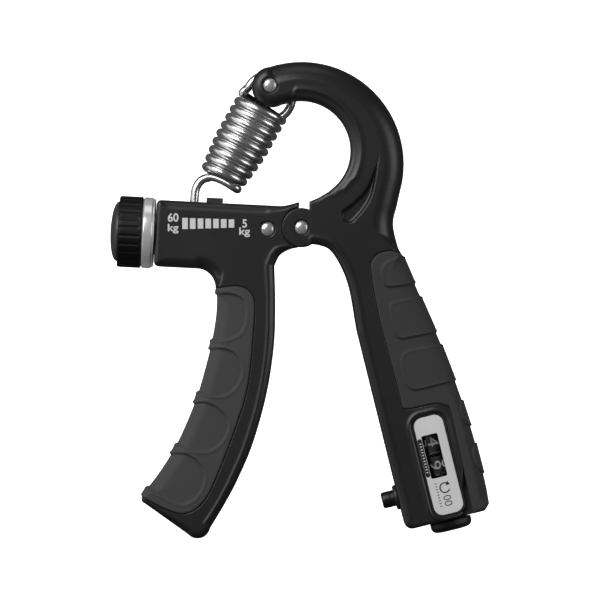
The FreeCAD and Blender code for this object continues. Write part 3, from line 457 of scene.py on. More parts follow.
def finish_material(name, base, rough, *, metal=0.0, grain=0.0, grain_size=900.0, colour_play=0.06,
                    rough_play=0.08, edge_wear=0.0, brushed=None, specular=0.5):
    """A surface with its own grain, uneven gloss, faint colour play and lighter worn edges."""
    material = bpy.data.materials.new(name)
    material.use_nodes = True
    nodes, links = material.node_tree.nodes, material.node_tree.links
    shader = nodes["Principled BSDF"]
    shader.inputs["Metallic"].default_value = metal
    shader.inputs["Specular IOR Level"].default_value = specular

    def node(kind, **inputs):
        made = nodes.new("ShaderNode" + kind)
        for socket, value in inputs.items():
            socket = made.inputs[socket.replace("_", " ")]
            if isinstance(value, bpy.types.NodeSocket):
                links.new(value, socket)
            else:
                socket.default_value = value
        return made

    def spread(value, low, high):
        return node("MapRange", From_Min=0.3, From_Max=0.7, To_Min=low, To_Max=high,
                    Value=value).outputs["Result"]

    def opaque(colour):
        return (*[min(1, part) for part in colour], 1)

    place = node("TexCoord").outputs["Object"]
    stretch = node("Mapping", Scale=brushed or (1, 1, 1), Vector=place)
    broad = node("TexNoise", Scale=45.0, Detail=3.0, Vector=place).outputs["Fac"]
    fine = node("TexNoise", Scale=grain_size, Detail=2.0, Vector=stretch.outputs["Vector"]).outputs["Fac"]
    colour = node("MixRGB", Color1=opaque([part * (1 - colour_play) for part in base]),
                  Color2=opaque([part * (1 + colour_play) for part in base]),
                  Fac=spread(broad, 0.0, 1.0)).outputs["Color"]
    if edge_wear:
        sharp = node("MapRange", From_Min=0.52, From_Max=0.62, To_Max=edge_wear,
                     Value=node("NewGeometry").outputs["Pointiness"])
        colour = node("MixRGB", Color1=colour, Color2=opaque([part * 1.8 + 0.02 for part in base]),
                      Fac=sharp.outputs["Result"]).outputs["Color"]
    links.new(colour, shader.inputs["Base Color"])
    blend = nodes.new("ShaderNodeMath")
    blend.operation = "ADD"
    links.new(spread(broad, rough - rough_play / 2, rough), blend.inputs[0])
    links.new(spread(fine, 0.0, rough_play / 2), blend.inputs[1])
    links.new(blend.outputs["Value"], shader.inputs["Roughness"])
    if grain:
        bump = node("Bump", Strength=grain, Distance=0.0001, Height=fine)
        links.new(bump.outputs["Normal"], shader.inputs["Normal"])
    return material


def grey(level):
    """A linear grey from a screen level of 0 to 255."""
    part = level / 255
    return [((part + 0.055) / 1.055) ** 2.4 if part > 0.04045 else part / 12.92] * 3


body_plastic = finish_material("body_plastic", grey(32), 0.36, grain=0.12, grain_size=1600,
                               edge_wear=0.12)
# one grip rubber in two copies: the finger grip's copy is painted lighter (painted light) and the palm
# grip's darker (painted shade), for how the light falls on the left and right grips
grip_rubber = finish_material("grip_rubber", grey(67), 0.72, grain=0.30, grain_size=1900,
                              colour_play=0.05, specular=0.35)
palm_rubber_painted_shade = finish_material("palm_rubber_painted_shade", grey(56), 0.70, grain=0.30, grain_size=1900,
                              colour_play=0.05, specular=0.35)
rivet_steel = finish_material("rivet_steel", grey(212), 0.26, metal=0.7, grain=0.05,
                              edge_wear=0.1)
bush_brass = finish_material("bush_brass", (0.62, 0.42, 0.16), 0.35, metal=1.0, grain=0.05)
spring_steel = finish_material("spring_steel", grey(228), 0.25, metal=0.95, grain=0.003,
                               grain_size=700, rough_play=0.03)
knob_plastic = finish_material("knob_plastic", grey(10), 0.5, grain=0.12, grain_size=1600,
                               specular=0.3)
cap_plastic = finish_material("cap_plastic", grey(58), 0.38, metal=0.1, grain=0.08,
                              grain_size=1400)
ring_chrome = finish_material("ring_chrome", grey(240), 0.2, metal=0.5, grain=0.02,
                              rough_play=0.05)
steel_plain = finish_material("steel_plain", grey(170), 0.36, metal=1.0, grain=0.08,
                              brushed=(1, 6, 6))
slider_plastic = finish_material("slider_plastic", grey(40), 0.45, grain=0.15)
housing_plastic = finish_material("housing_plastic", grey(36), 0.42, grain=0.12,
                                  grain_size=1600)
label_silver = finish_material("label_silver", grey(226), 0.5, metal=0.0, grain=0.10,
                               grain_size=2600, brushed=(8, 1, 1))
wheel_plastic = finish_material("wheel_plastic", grey(22), 0.38, grain=0.10)
reset_plastic = finish_material("reset_plastic", grey(20), 0.4, grain=0.10, edge_wear=0.1)
white_print = finish_material("white_print", grey(222), 0.55, grain=0.08, colour_play=0.03)
digit_print = finish_material("digit_print", grey(165), 0.5, grain=0.05, colour_play=0.03)
dark_print = finish_material("dark_print", grey(14), 0.5, grain=0.05)


def clear_plastic():
    material = finish_material("lens_clear", (0.9, 0.92, 0.94), 0.08, grain=0.02, rough_play=0.03)
    shader = material.node_tree.nodes["Principled BSDF"]
    shader.inputs["Transmission Weight"].default_value = 1.0
    shader.inputs["IOR"].default_value = 1.1
    shader.inputs["Alpha"].default_value = 0.25
    return material


lens_clear = clear_plastic()


def dress(thing, body, slot, material, *nodes):
    """Paints a piece, lets it ride a body and stand for CAD nodes."""
    thing.data.materials.clear()
    thing.data.materials.append(material)
    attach(thing, body)
    if nodes:
        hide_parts(*nodes)
    return thing


# ---------------------------------------------------------------- arms

def hook_arm():
    grid = Grid((-17.6, -103.0), (52.0, 54.6), HALF + 4 * VOXEL, VOXEL)
    outline = hook_outline()
    field = slab(grid, outline, HALF)
    field = np.minimum(field, slab(grid, palm_core_outline(), CORE_HALF, plain=True))
    deep = grid.deep()
    pivot = ring_distance(grid, (0, 0))
    fork = np.maximum(grid.solid(pivot - 6.5), np.abs(deep) - FORK_HALF)
    field = np.maximum(field, -fork)
    slot_plane = np.maximum.reduce([grid.X + 0.3, -18.0 - grid.X, 34.0 - grid.Z, grid.Z - 50.0])
    field = np.maximum(field, -np.maximum(grid.solid(slot_plane), np.abs(deep) - 1.7))
    field = sink_rivet(field, grid, (0, 0))
    field = sink_rivet(field, grid, HOOK_RIVET)
    recess, _ = measure(crescent(), grid)
    floor = HALF - 1.4 * step((-recess + 0.1) / 0.8)
    field = np.maximum(field, np.where(grid.solid(recess) < 0.3, np.abs(deep) - grid.solid(floor), -9))

    turn = PALM_TILT
    across = grid.X * math.cos(turn) + grid.Z * math.sin(turn)
    down = grid.X * math.sin(turn) - grid.Z * math.cos(turn)
    bezel = round_box(across, down, LABEL, LABEL_CORNER)
    skin, _ = measure(outline, grid)
    rise = 0.35 * step((2.6 - bezel) / 1.1) * step((bezel - 0.9) / 0.7) * step((-skin - 0.3) / 1.2)
    field = field - grid.solid(rise) * (deep < -7)
    window = np.maximum(grid.solid(bezel - 0.9), deep + 1)
    field = np.maximum(field, -window)
    cell = np.maximum.reduce([15.0 - across, across - 32.4, 64.0 - down])
    field = np.maximum(field, -np.maximum(grid.solid(cell), np.abs(deep) - 8.0))
    sleeve = np.maximum(np.hypot(grid.solid(down - 91.6), deep) - 3.62,
                        grid.solid(np.maximum(6 - across, across - 16)))
    field = np.maximum(field, -sleeve)
    screw = grid.solid(np.hypot(across - COUNTER_ACROSS, down - 68.5))
    field = np.maximum(field, -np.maximum(screw - 1.25, 7 - deep))
    arm = mesh_field("hook_arm_skin", field, grid, PIVOT)
    return dress(arm, "palm_arm", "body_plastic", body_plastic, "hook_arm")


def barrel_coordinates(grid):
    """How far along the screw and how far above it each place of the grid's plane is."""
    dx, dz = grid.X - BARREL_END[0], grid.Z - BARREL_END[1]
    turn = BARREL_TILT
    return (dx * math.cos(turn) - dz * math.sin(turn), dx * math.sin(turn) + dz * math.cos(turn))


def finger_arm():
    grid = Grid((-52.4, -100.8), (7.2, 10.4), HALF + 4 * VOXEL, VOXEL)
    field = slab(grid, finger_outline(), HALF)
    field = np.minimum(field, slab(grid, finger_core_outline(), CORE_HALF, plain=True))
    deep = grid.deep()
    pivot = ring_distance(grid, (0, 0))
    root = np.maximum.reduce([-9.0 - grid.X, grid.X + 1.0, np.abs(grid.Z) - 4.6])
    tongue = np.maximum(grid.solid(np.minimum(pivot - 6.2, root)), np.abs(deep) - TONGUE_HALF)
    field = np.minimum(field, tongue)
    field = np.maximum(field, -grid.solid(pivot - 2.6) + 0 * deep)
    field = sink_rivet(field, grid, SCREW_RIVET)
    along, up = barrel_coordinates(grid)
    cell = np.maximum.reduce([2.0 - along, along - 31.5, -7.5 - up, up - 9.2])
    field = np.maximum(field, -np.maximum(grid.solid(cell), np.abs(deep) - 7.0))
    slot = np.maximum.reduce([1.6 - along, along - 27.6, 8.2 - up])
    field = np.maximum(field, -np.maximum(grid.solid(slot), np.abs(deep) - 2.6))
    bore = np.maximum(np.hypot(grid.solid(up), deep) - 2.6,
                      grid.solid(np.maximum(-1 - along, along - 39.8)))
    field = np.maximum(field, -bore)
    arm = mesh_field("finger_arm_skin", field, grid, PIVOT)
    return dress(arm, "finger_lever", "body_plastic", body_plastic, "finger_arm")


def soft_grip(name, half, low, high, outline, core, marks, rise, slope, bead_place, bead_width):
    """A soft grip whose marks stand up by a rise, or sink when it is negative, each in a bead."""
    grid = Grid(low, high, GRIP_HALF + 1.6, VOXEL)
    field = slab(grid, outline, half)
    lift = np.zeros(grid.X.shape, np.float32)
    bead = np.zeros(grid.X.shape, np.float32)
    for corners in marks:
        edge, _ = measure(rounded(corners), grid)
        lift = np.maximum(lift, step((0.3 - edge) / slope))
        bead = np.maximum(bead, np.exp(-((edge - bead_place) / bead_width) ** 2))
    field = field - rise * grid.solid(lift) - 0.2 * grid.solid(bead)
    field = np.maximum(field, -slab(grid, core, CORE_HALF, plain=True))
    return mesh_field(name, field, grid, PIVOT)


def palm_grip():
    grip = soft_grip("palm_grip_skin", GRIP_HALF, (19.0, -103.0), (62.0, -7.0), palm_grip_outline(),
                     palm_core_outline(), PALM_PADS, 0.5, 0.7, -0.25, 0.35)
    # the palm grip's rubber is painted darker than the finger grip's: painted shade
    return dress(grip, "palm_arm", "grip_rubber", palm_rubber_painted_shade, "palm_grip")


def finger_grip():
    grip = soft_grip("finger_grip_skin", GRIP_HALF + 0.35, (-53.0, -93.0), (-13.5, -18.0),
                     finger_grip_outline(), finger_core_outline(), FINGER_RESTS, -0.6, 0.6, 0.6, 0.4)
    # the finger grip's rubber is painted lighter than the palm grip's: painted light
    return dress(grip, "finger_lever", "grip_rubber", grip_rubber, "finger_grip")


# ---------------------------------------------------------------- turned pieces

ALONG_X = Matrix(((0, 0, 1, 0), (0, 1, 0, 0), (-1, 0, 0, 0), (0, 0, 0, 1)))
ALONG_Y = Matrix(((1, 0, 0, 0), (0, 0, 1, 0), (0, -1, 0, 0), (0, 0, 0, 1)))


def soften_profile(profile, bevel):
    """Rounds every inner corner of an open profile."""
    points = [np.array(point, float) for point in profile]
    result = [points[0]]
    for a, b, c in zip(points, points[1:], points[2:]):
        before, after = np.linalg.norm(a - b), np.linalg.norm(c - b)
        cut = min(bevel, before * 0.45, after * 0.45)
        start, end = b + (a - b) / before * cut, b + (c - b) / after * cut
        for part in range(5):
            t = part / 4
            result.append((1 - t) ** 2 * start + 2 * t * (1 - t) * b + t * t * end)
    return result + [points[-1]]


def turned(name, profile, place, bevel=0.25, around=96, wave=None):
    """A profile of (along, radius) turned round the frame's z axis; wave moves the radius."""
    line = soften_profile(profile, bevel)
    angles = np.arange(around) * math.tau / around
    vertices, faces = [], []
    for along, radius in line:
        reach = radius + (wave(angles, along, radius) if wave else 0 * angles)
        vertices.append(np.stack([reach * np.cos(angles), reach * np.sin(angles),
                                  np.full(around, along)], 1))
    for row in range(len(line) - 1):
        for turn in range(around):
            a, b = row * around + turn, row * around + (turn + 1) % around
            faces.append((a, b, b + around, a + around))
    vertices = np.concatenate(vertices)
    thing = new_object(name, vertices, faces, place)
    weld = thing.modifiers.new("weld", "WELD")
    weld.merge_threshold = 0.000002
    return thing


def knob():
    """The ribbed tension knob, its satin cap and the bright ring in front of the barrel."""
    place = BARREL @ ALONG_X
    ribs = 26

    def rib(angles, along, radius):
        if radius < 10.8:
            return 0 * angles
        depth = 0.22 * float(step((along + 12.0) / 0.9) * step((-5.0 - along) / 0.6))
        groove = np.clip(np.cos(angles * ribs) * 1.6 - 0.5, 0, 1)
        return -depth * groove

    steps = np.linspace(-11.7, -4.75, 12)
    rim = [(-10.4, 9.70), (-12.0, 9.72), (-12.0, 11.0), (-11.75, 11.4)]
    rim += [(along, 11.48) for along in steps[1:-1]]
    rim += [(-4.6, 11.48), (-4.42, 11.3), (-4.4, 7.8), (-0.8, 7.8), (-0.8, 2.5), (-7.0, 2.5),
            (-7.0, 5.4), (-10.4, 5.4), (-10.4, 9.7)]
    shell = turned("tension_knob_rim", rim, place, bevel=0.12, around=26 * 16, wave=rib)
    dress(shell, "knob", "knob_plastic", knob_plastic, "tension_knob")
    dome = [(-14.58, 0.0)]
    for turn in range(1, 15):
        angle = math.pi / 2 * turn / 15
        dome.append((-12.0 - 2.58 * math.cos(angle) ** 0.85, 9.62 * math.sin(angle)))
    dome += [(-12.0, 9.66), (-10.45, 9.66), (-10.45, 5.3), (-11.6, 5.3), (-11.6, 0.0)]
    cap = turned("knob_cap_dome", dome, place, bevel=0.2)
    dress(cap, "knob", "cap_plastic", cap_plastic, "knob_cap")
    ring = [(-4.38, 7.82), (-4.38, 10.8), (-4.1, 11.05), (-3.9, 11.42), (-1.3, 11.42),
            (-1.1, 11.0), (-0.5, 11.0), (-0.37, 10.7), (-0.36, 7.82), (-4.38, 7.82)]
    band = turned("chrome_ring_band", ring, place, bevel=0.3, around=128)
    dress(band, "knob", "ring_chrome", ring_chrome, "chrome_ring")


def rivet(name, node, centre, body):
    """A shank between two domed heads."""
    place = PIVOT @ Matrix.Translation(Vector((centre[0] * MM, 0, centre[1] * MM))) @ ALONG_Y
    shank = 1.6 if node == "pivot_rivet" else 1.5
    head = [(-10.1, 0.0), (-10.03, 0.9), (-9.78, 1.6), (-9.4, 2.15), (-9.05, 2.32), (-8.99, shank)]
    mirrored = [(-along, radius) for along, radius in reversed(head)]
    pin = turned(name, head + mirrored, place, bevel=0.15, around=48)
    dress(pin, body, "rivet_steel", rivet_steel, node)


def reset_knob():
    place = COUNTER @ Matrix.Translation(Vector((COUNTER_ACROSS * MM, 0, 0)))
    profile = [(-106.08, 0.0), (-106.06, 4.2), (-105.9, 5.4), (-105.3, 6.3), (-104.5, 6.68),
               (-103.0, 6.73), (-102.72, 6.6), (-102.71, 2.0), (-96.0, 2.0), (-95.5, 1.9),
               (-95.5, 1.0), (-98.0, 1.0), (-98.0, 0.0)]

    def grip(angles, along, radius):
        """Fine grip lines low on the disc's edge."""
        if radius < 6.6:
            return 0 * angles
        return -0.06 * np.clip(np.cos(angles * 60) * 2, 0, 1)

    thing = turned("reset_knob_disc", profile, place, bevel=0.3, around=360, wave=grip)
    dress(thing, "reset", "reset_plastic", reset_plastic, "reset_knob")


def plunger():
    place = COUNTER @ Matrix.Translation(Vector((0, 0, -91.6 * MM))) @ ALONG_X
    head = [(4.02, 0.0), (4.04, 1.9), (4.2, 2.4), (4.6, 2.62), (6.9, 2.68), (7.1, 2.5), (7.3, 2.68),
            (10.48, 2.68), (10.48, 1.2)]
    rod = [(9.5, 0.0), (9.5, 1.19), (17.8, 1.19), (17.8, 0.0)]
    button = turned("plunger_button", head, place, bevel=0.2, around=64)
    shaft_place = COUNTER @ Matrix.Translation(Vector((0, 0, -92.1 * MM))) @ ALONG_X
    shaft = turned("plunger_rod_turned", rod, shaft_place, bevel=0.1, around=32)
    dress(button, "counter_plunger", "reset_plastic", reset_plastic, "plunger")
    dress(shaft, "counter_plunger", "reset_plastic", reset_plastic)
    collar = [(9.22, 2.76), (8.2, 2.76), (8.12, 3.2), (8.3, 3.9), (8.7, 4.04), (9.22, 4.04), (9.24, 3.6),
              (14.98, 3.58), (14.98, 2.76), (9.22, 2.76)]
    bead = turned("plunger_collar_bead", collar, place, bevel=0.2, around=64)
    dress(bead, "palm_arm", "housing_plastic", housing_plastic, "plunger_collar")


# ---------------------------------------------------------------- spring

END_RINGS = (0.02, 0.35, 0.8, 1.2)    # angles from the tip, in radians


def hermite(a, ta, b, tb, t):
    """A smooth bridge from a, heading along ta, to b, heading along tb."""
    return ((2 * t ** 3 - 3 * t ** 2 + 1) * a + (t ** 3 - 2 * t ** 2 + t) * ta
            + (3 * t ** 2 - 2 * t ** 3) * b + (t ** 3 - t ** 2) * tb)


def tube(name, line, radius, place, around=20):
    """A round wire along a line of points, with hemispherical ends.

    Gives the wire and the number of rings that each end adds.
    """
    line = np.asarray(line, float)
    heading = np.gradient(line, axis=0)
    heading /= np.linalg.norm(heading, axis=1)[:, None]
    side = np.cross(heading[0], (0.31, 0.9, 0.2))
    side /= np.linalg.norm(side)
    rings = []
    turn = np.arange(around) * math.tau / around

    def ring(centre, forward, side, size):
        other = np.cross(forward, side)
        return centre + size * (np.cos(turn)[:, None] * side + np.sin(turn)[:, None] * other)

    for number, (centre, forward) in enumerate(zip(line, heading)):
        side = side - forward * (side @ forward)
        side /= np.linalg.norm(side)
        if number == 0:
            rings += [ring(centre - forward * radius * math.cos(lift), forward, side,
                           radius * math.sin(lift)) for lift in END_RINGS]
        rings.append(ring(centre, forward, side, radius))
        if number == len(line) - 1:
            rings += [ring(centre + forward * radius * math.cos(lift), forward, side,
                           radius * math.sin(lift)) for lift in reversed(END_RINGS)]
    faces = [(row * around + spot, row * around + (spot + 1) % around,
              (row + 1) * around + (spot + 1) % around, (row + 1) * around + spot)
             for row in range(len(rings) - 1) for spot in range(around)]
    faces.append(tuple(reversed(range(around))))
    last = (len(rings) - 1) * around
    faces.append(tuple(range(last, last + around)))
    return new_object(name, np.concatenate(rings), faces, place), len(END_RINGS)


def spring_line():
    """Centreline of the extension spring: upper loop, coil, lower hook; pivot frame."""
    top, bottom = np.array((-12.2, 0, 39.5)), np.array((-25.9, 0, 15.4))
    down = (bottom - top) / np.linalg.norm(bottom - top)
    right = np.array((-down[2], 0, down[0]))
    right = right if right[0] > 0 else -right
    back = np.array((0.0, 1.0, 0.0))
    loop_centre, loop_radius = np.array((-10.4, 0, 41.9)), 7.4
    points = []
    start, sweep = math.radians(-72), math.radians(222)
    steps = LOOP_STEPS // COARSE
    for number in range(steps + 1):
        angle = start + sweep * number / steps
        points.append(loop_centre + loop_radius * np.array((math.cos(angle), 0, math.sin(angle))))
    turns = 9.5
    pitch = np.linalg.norm(bottom - top) / turns
    coil = []
    steps = COIL_STEPS // COARSE
    first = math.radians(180)
    for number in range(steps + 1):
        share = number / steps
        angle = first - math.tau * turns * share
        taper = max(0.0, (share - 0.5) / 0.5)
        size = 7.7 - 1.6 * taper ** 1.4
        reach = share * pitch * turns
        coil.append(top + down * reach + size * (math.cos(angle) * right + math.sin(angle) * back))
    lead = coil[6 // COARSE] - coil[0]
    lead /= np.linalg.norm(lead)
    tail = points[-1] - points[-2]
    tail /= np.linalg.norm(tail)
    gap = np.linalg.norm(coil[0] - points[-1])
    points += [hermite(points[-1], tail * gap, coil[0], lead * gap, t) for t in np.linspace(0.1, 0.9, 9)]
    points += coil
    out = coil[-1] - coil[-2]
    out /= np.linalg.norm(out)
    pin = np.array((HOOK_PIN[0], 0, HOOK_PIN[1]))
    hook = [pin + np.array(spot) for spot in ((1.9, 0, 11.2), (-0.4, 0, 10.4), (-2.2, 0, 8.0),
                                              (-2.8, 0, 4.5), (-2.8, 0, 0.0))]
    for angle in np.linspace(200, 345, 14 // min(COARSE, 2)):
        spot = math.radians(angle)
        hook.append(pin + 2.8 * np.array((math.cos(spot), 0, math.sin(spot))))
    aim = hook[1] - hook[0]
    aim /= np.linalg.norm(aim)
    gap = np.linalg.norm(hook[0] - coil[-1])
    points += [hermite(coil[-1], out * gap * 1.2, hook[0], aim * gap * 0.9, t)
               for t in np.linspace(0.06, 0.94, 16)]
    return np.array(points + [hook[0]] + smooth_run(hook, steps=6))


def main_spring():
    """The spring hangs from the upper rivet; its lower hook follows the slider's pin."""
    line = spring_line()
    around = 24
    thing, caps = tube("main_spring_coil", line, WIRE + 0.1, PIVOT, around)
    dress(thing, "spring", "spring_steel", spring_steel, "main_spring")
    run = np.concatenate([[0], np.cumsum(np.linalg.norm(np.diff(line, axis=0), axis=1))])
    loop_end = run[LOOP_STEPS // COARSE]
    hook_start = run[-1] - HOOK_RUN
    share = np.clip((run - loop_end) / (hook_start - loop_end), 0, 1)
    share = np.concatenate([[share[0]] * caps, share, [share[-1]] * caps])
    group = thing.vertex_groups.new(name="stretch")
    for number, weight in enumerate(share):
        if weight > 0:
            group.add(list(range(number * around, (number + 1) * around)), float(weight), "REPLACE")
    pin = centre_of("lower_spring_pin")
    carried = empty_at("spring_pin_place", pin, "slider")
    pull = empty_at("spring_pull", pin, "spring")
    follow = pull.constraints.new("COPY_LOCATION")
    follow.target = carried
    hook = thing.modifiers.new("stretch", "HOOK")
    hook.object = pull
    hook.vertex_group = "stretch"
    bpy.context.view_layer.update()
    hook.matrix_inverse = pull.matrix_world.inverted() @ thing.matrix_world


def empty_at(name, place, body):
    spot = bpy.data.objects.new(name, None)
    spot.empty_display_size = 0.002
    spot.location = place
    bpy.context.scene.collection.objects.link(spot)
    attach(spot, body)
    return spot


# ---------------------------------------------------------------- counter

def round_plate(name, box, corner, front, back, place, hole=None, hole_corner=0.5, bevel=0.12):
    """A plate with round corners, a bevelled front edge and perhaps a window."""
    def loop(left, right, top, bottom, radius, steps=10):
        spots = []
        for cx, cz, first in ((right - radius, top + radius, 0), (left + radius, top + radius, 90),
                              (left + radius, bottom - radius, 180),
                              (right - radius, bottom - radius, 270)):
            for part in range(steps + 1):
                angle = math.radians(first + 90 * part / steps)
                spots.append((cx + radius * math.cos(angle), cz - radius * math.sin(angle)))
        return spots

    left, right, top, bottom = box
    outer = loop(left, right, top, bottom, corner)
    inset = loop(left + bevel, right - bevel, top + bevel, bottom - bevel, corner - bevel)
    rings = [[(x, back, -z) for x, z in outer], [(x, front + bevel, -z) for x, z in outer],
             [(x, front, -z) for x, z in inset]]
    if hole:
        inner = loop(*hole, hole_corner)
        rings += [[(x, front, -z) for x, z in inner], [(x, back, -z) for x, z in inner]]
    count = len(outer)
    vertices = [spot for ring in rings for spot in ring]
    faces = []
    for row in range(len(rings) - 1):
        for spot in range(count):
            a, b = row * count + spot, row * count + (spot + 1) % count
            faces.append((a, a + count, b + count, b))
    if hole:
        last = (len(rings) - 1) * count
        for spot in range(count):
            faces.append((last + spot, spot, (spot + 1) % count, last + (spot + 1) % count))
    else:
        faces.append(tuple(range(2 * count, 3 * count)))
        faces.append(tuple(reversed(range(count))))
    return new_object(name, vertices, faces, place, smooth=False)


def glyphs(name, text, tall, place, thick=0.06, wide=1.0, bold=0.02, cuts=0):
    """Numerals or a unit as a thin solid; its middle stands at the place, facing the front."""
    curve = bpy.data.curves.new(name, "FONT")
    curve.body = text
    curve.align_x, curve.align_y = "CENTER", "CENTER"
    curve.resolution_u = 6
    curve.offset = bold
    shape = bpy.data.objects.new(name + "_source", curve)
    bpy.context.scene.collection.objects.link(shape)
    bpy.context.view_layer.update()
    flat = bpy.data.meshes.new_from_object(shape.evaluated_get(bpy.context.evaluated_depsgraph_get()))
    bpy.data.objects.remove(shape)
    spots = np.array([vertex.co for vertex in flat.vertices])
    low, high = spots.min(0), spots.max(0)
    scale = tall / (high[1] - low[1])
    middle = (low + high) / 2
    flat_spots = [((x - middle[0]) * scale * wide, (y - middle[1]) * scale) for x, y, _ in spots]
    faces = [tuple(face.vertices) for face in flat.polygons]
    edges = {}
    for face in faces:
        for a, b in zip(face, face[1:] + face[:1]):
            edges[(a, b)] = edges.get((a, b), 0) + 1
    count = len(flat_spots)
    vertices = [(x, -thick, y) for x, y in flat_spots] + [(x, thick, y) for x, y in flat_spots]
    solid = list(faces) + [tuple(count + spot for spot in reversed(face)) for face in faces]
    solid += [(b, a, a + count, b + count) for a, b in edges if (b, a) not in edges]
    thing = new_object(name, vertices, solid, place, smooth=False)
    if cuts:
        shape = bmesh.new()
        shape.from_mesh(thing.data)
        for level in np.linspace(-0.45 * tall, 0.45 * tall, cuts):
            bmesh.ops.bisect_plane(shape, geom=[*shape.verts, *shape.edges, *shape.faces],
                                   plane_co=(0, 0, level * MM), plane_no=(0, 0, 1))
        shape.to_mesh(thing.data)
        shape.free()
    return thing


def at(frame_place, x, y, z, turn=0.0):
    """A frame moved by x, y, z millimetres and then turned about its own y axis."""
    return frame_place @ Matrix.Translation(Vector((x, y, z)) * MM) @ Matrix.Rotation(turn, 4, "Y")


def number_wheel(name, node, body, top, shown, first, aside):
    """A drum with a shallow bead at each rim and its numerals laid round it."""
    place = COUNTER @ Matrix.Translation(Vector((COUNTER_ACROSS * MM, 0, 0)))
    low, high = -(top + 6.7), -top
    profile = [(low, 1.05), (low, 5.6), (low + 0.15, 6.1), (low + 0.5, 6.17), (low + 0.8, 6.05),
               (high - 0.8, 6.05), (high - 0.5, 6.17), (high - 0.15, 6.1), (high, 5.6), (high, 1.05),
               (low, 1.05)]
    drum = turned(name + "_drum", profile, place, bevel=0.1, around=120)
    dress(drum, body, "wheel_plastic", wheel_plastic, node)
    for digit in range(10):
        turn = math.radians(36.0) * ((digit - shown) % 10) + first
        label = glyphs(f"{name}_digit_{digit}", str(digit), 3.5, Matrix.Identity(4), thick=0.05, wide=1.3,
                       bold=0.0, cuts=9)
        mesh = label.data
        spots = np.array([vertex.co for vertex in mesh.vertices]) / MM
        # the numerals' height runs round the drum and their width along its axle
        height, width, deep = spots[:, 2], spots[:, 0], spots[:, 1]
        angle = turn + height / 6.1
        radius = 6.08 - deep
        bent = np.stack([radius * np.sin(angle), -radius * np.cos(angle),
                         -(top + 3.35 + aside) - width], 1)
        place_np = np.array(place)
        world = (bent * MM) @ place_np[:3, :3].T + place_np[:3, 3]
        mesh.vertices.foreach_set("co", world.ravel())
        mesh.update()
        dress(label, body, "label_silver", digit_print)


def label_mark(name, box, corner, height, back, material):
    """A bar printed on the counter's plate: it starts behind the face and stands out by a height."""
    mark = round_plate(name, box, corner, LABEL_FRONT - height, LABEL_FRONT + back, COUNTER, bevel=0.02)
    dress(mark, "palm_arm", "label_silver", material)


def reset_arrow(place):
    """A generic circular arrow printed on the plate."""
    spots, faces = [], []
    steps = 40
    for number in range(steps + 1):
        angle = math.radians(60 + 270 * number / steps)
        for radius in (1.35, 1.75):
            spots.append((radius * math.cos(angle), -0.02, radius * math.sin(angle)))
            spots.append((radius * math.cos(angle), 0.03, radius * math.sin(angle)))
    for number in range(steps):
        a = number * 4
        faces += [(a, a + 4, a + 6, a + 2), (a + 1, a + 3, a + 7, a + 5), (a, a + 1, a + 5, a + 4),
                  (a + 2, a + 6, a + 7, a + 3)]
    faces += [(0, 2, 3, 1), (steps * 4, steps * 4 + 1, steps * 4 + 3, steps * 4 + 2)]
    tip = math.radians(60)
    base = len(spots)
    along = (math.sin(tip), -math.cos(tip))
    centre = (1.55 * math.cos(tip), 1.55 * math.sin(tip))
    corners = [(centre[0] + 0.75 * math.cos(tip), centre[1] + 0.75 * math.sin(tip)),
               (centre[0] - 0.75 * math.cos(tip), centre[1] - 0.75 * math.sin(tip)),
               (centre[0] + along[0] * 1.25, centre[1] + along[1] * 1.25)]
    for x, z in corners:
        spots += [(x, -0.02, z), (x, 0.03, z)]
    faces += [(base, base + 4, base + 2), (base + 1, base + 3, base + 5)]
    for a, b in ((0, 2), (2, 4), (4, 0)):
        faces.append((base + a, base + b, base + b + 1, base + a + 1))
    return new_object("reset_arrow", spots, faces, place, smooth=False)


def counter():
    plate = round_plate("counter_label", LABEL, LABEL_CORNER, LABEL_FRONT, -9.2, COUNTER, hole=WINDOW,
                        hole_corner=0.6)
    dress(plate, "palm_arm", "label_silver", label_silver, "counter_faceplate")
    number_wheel("tens", "tens_wheel", "tens", 74.4, 4, math.radians(5), -0.9)
    number_wheel("units", "units_wheel", "units", 81.5, 9, math.radians(-4), -0.4)
    left = LABEL[0]
    label_mark("label_side_print", (left + 0.03, left + 1.4, 75.0, 87.6), 0.66, 0.03, 0.05, dark_print)
    for number in range(11):
        down = 76.6 + 0.94 * number
        label_mark(f"label_tick_{number + 1}", (left + 0.38, left + 1.05, down - 0.17, down + 0.17),
                   0.08, 0.06, 0.02, white_print)
    arrow = reset_arrow(at(COUNTER, 24.6, LABEL_FRONT, -92.0))
    dress(arrow, "palm_arm", "label_silver", dark_print)
    zeros = glyphs("label_zeros", "00", 2.5, at(COUNTER, 24.6, LABEL_FRONT, -96.2, math.pi / 2),
                   thick=0.03, bold=-0.01)
    dress(zeros, "palm_arm", "label_silver", dark_print)
    for number in range(9):
        down = 90.2 + 0.92 * number
        label_mark(f"label_dash_{number + 1}", (left + 2.1, left + 2.75, down - 0.14, down + 0.14),
                   0.06, 0.03, 0.05, dark_print)


def barrel_scale():
    """The printed resistance scale: seven tapering bars between two loads."""
    front = -HALF
    for number in range(7):
        left = -38.2 + 2.48 * number
        tall = 3.6 - 0.15 * number
        box = (left, left + 1.8, -1.25 - tall / 2, -1.25 + tall / 2)
        bar = round_plate(f"scale_bar_{number + 1}", box, 0.12, front - 0.04, front + 0.05, PIVOT,
                          bevel=0.02)
        dress(bar, "finger_lever", "body_plastic", white_print)
    for name, text, tall, x, z, wide in (("scale_high_load", "60", 2.8, -41.1, 3.2, 0.95),
                                         ("scale_high_unit", "kg", 3.1, -41.1, -0.4, 1.2),
                                         ("scale_low_load", "5", 2.7, -18.2, 1.25, 0.95),
                                         ("scale_low_unit", "kg", 3.1, -18.2, -1.55, 1.2)):
        label = glyphs(name, text, tall, at(PIVOT, x, front, z), thick=0.04, wide=wide)
        dress(label, "finger_lever", "body_plastic", white_print)


# ---------------------------------------------------------------- CAD pieces kept as they are

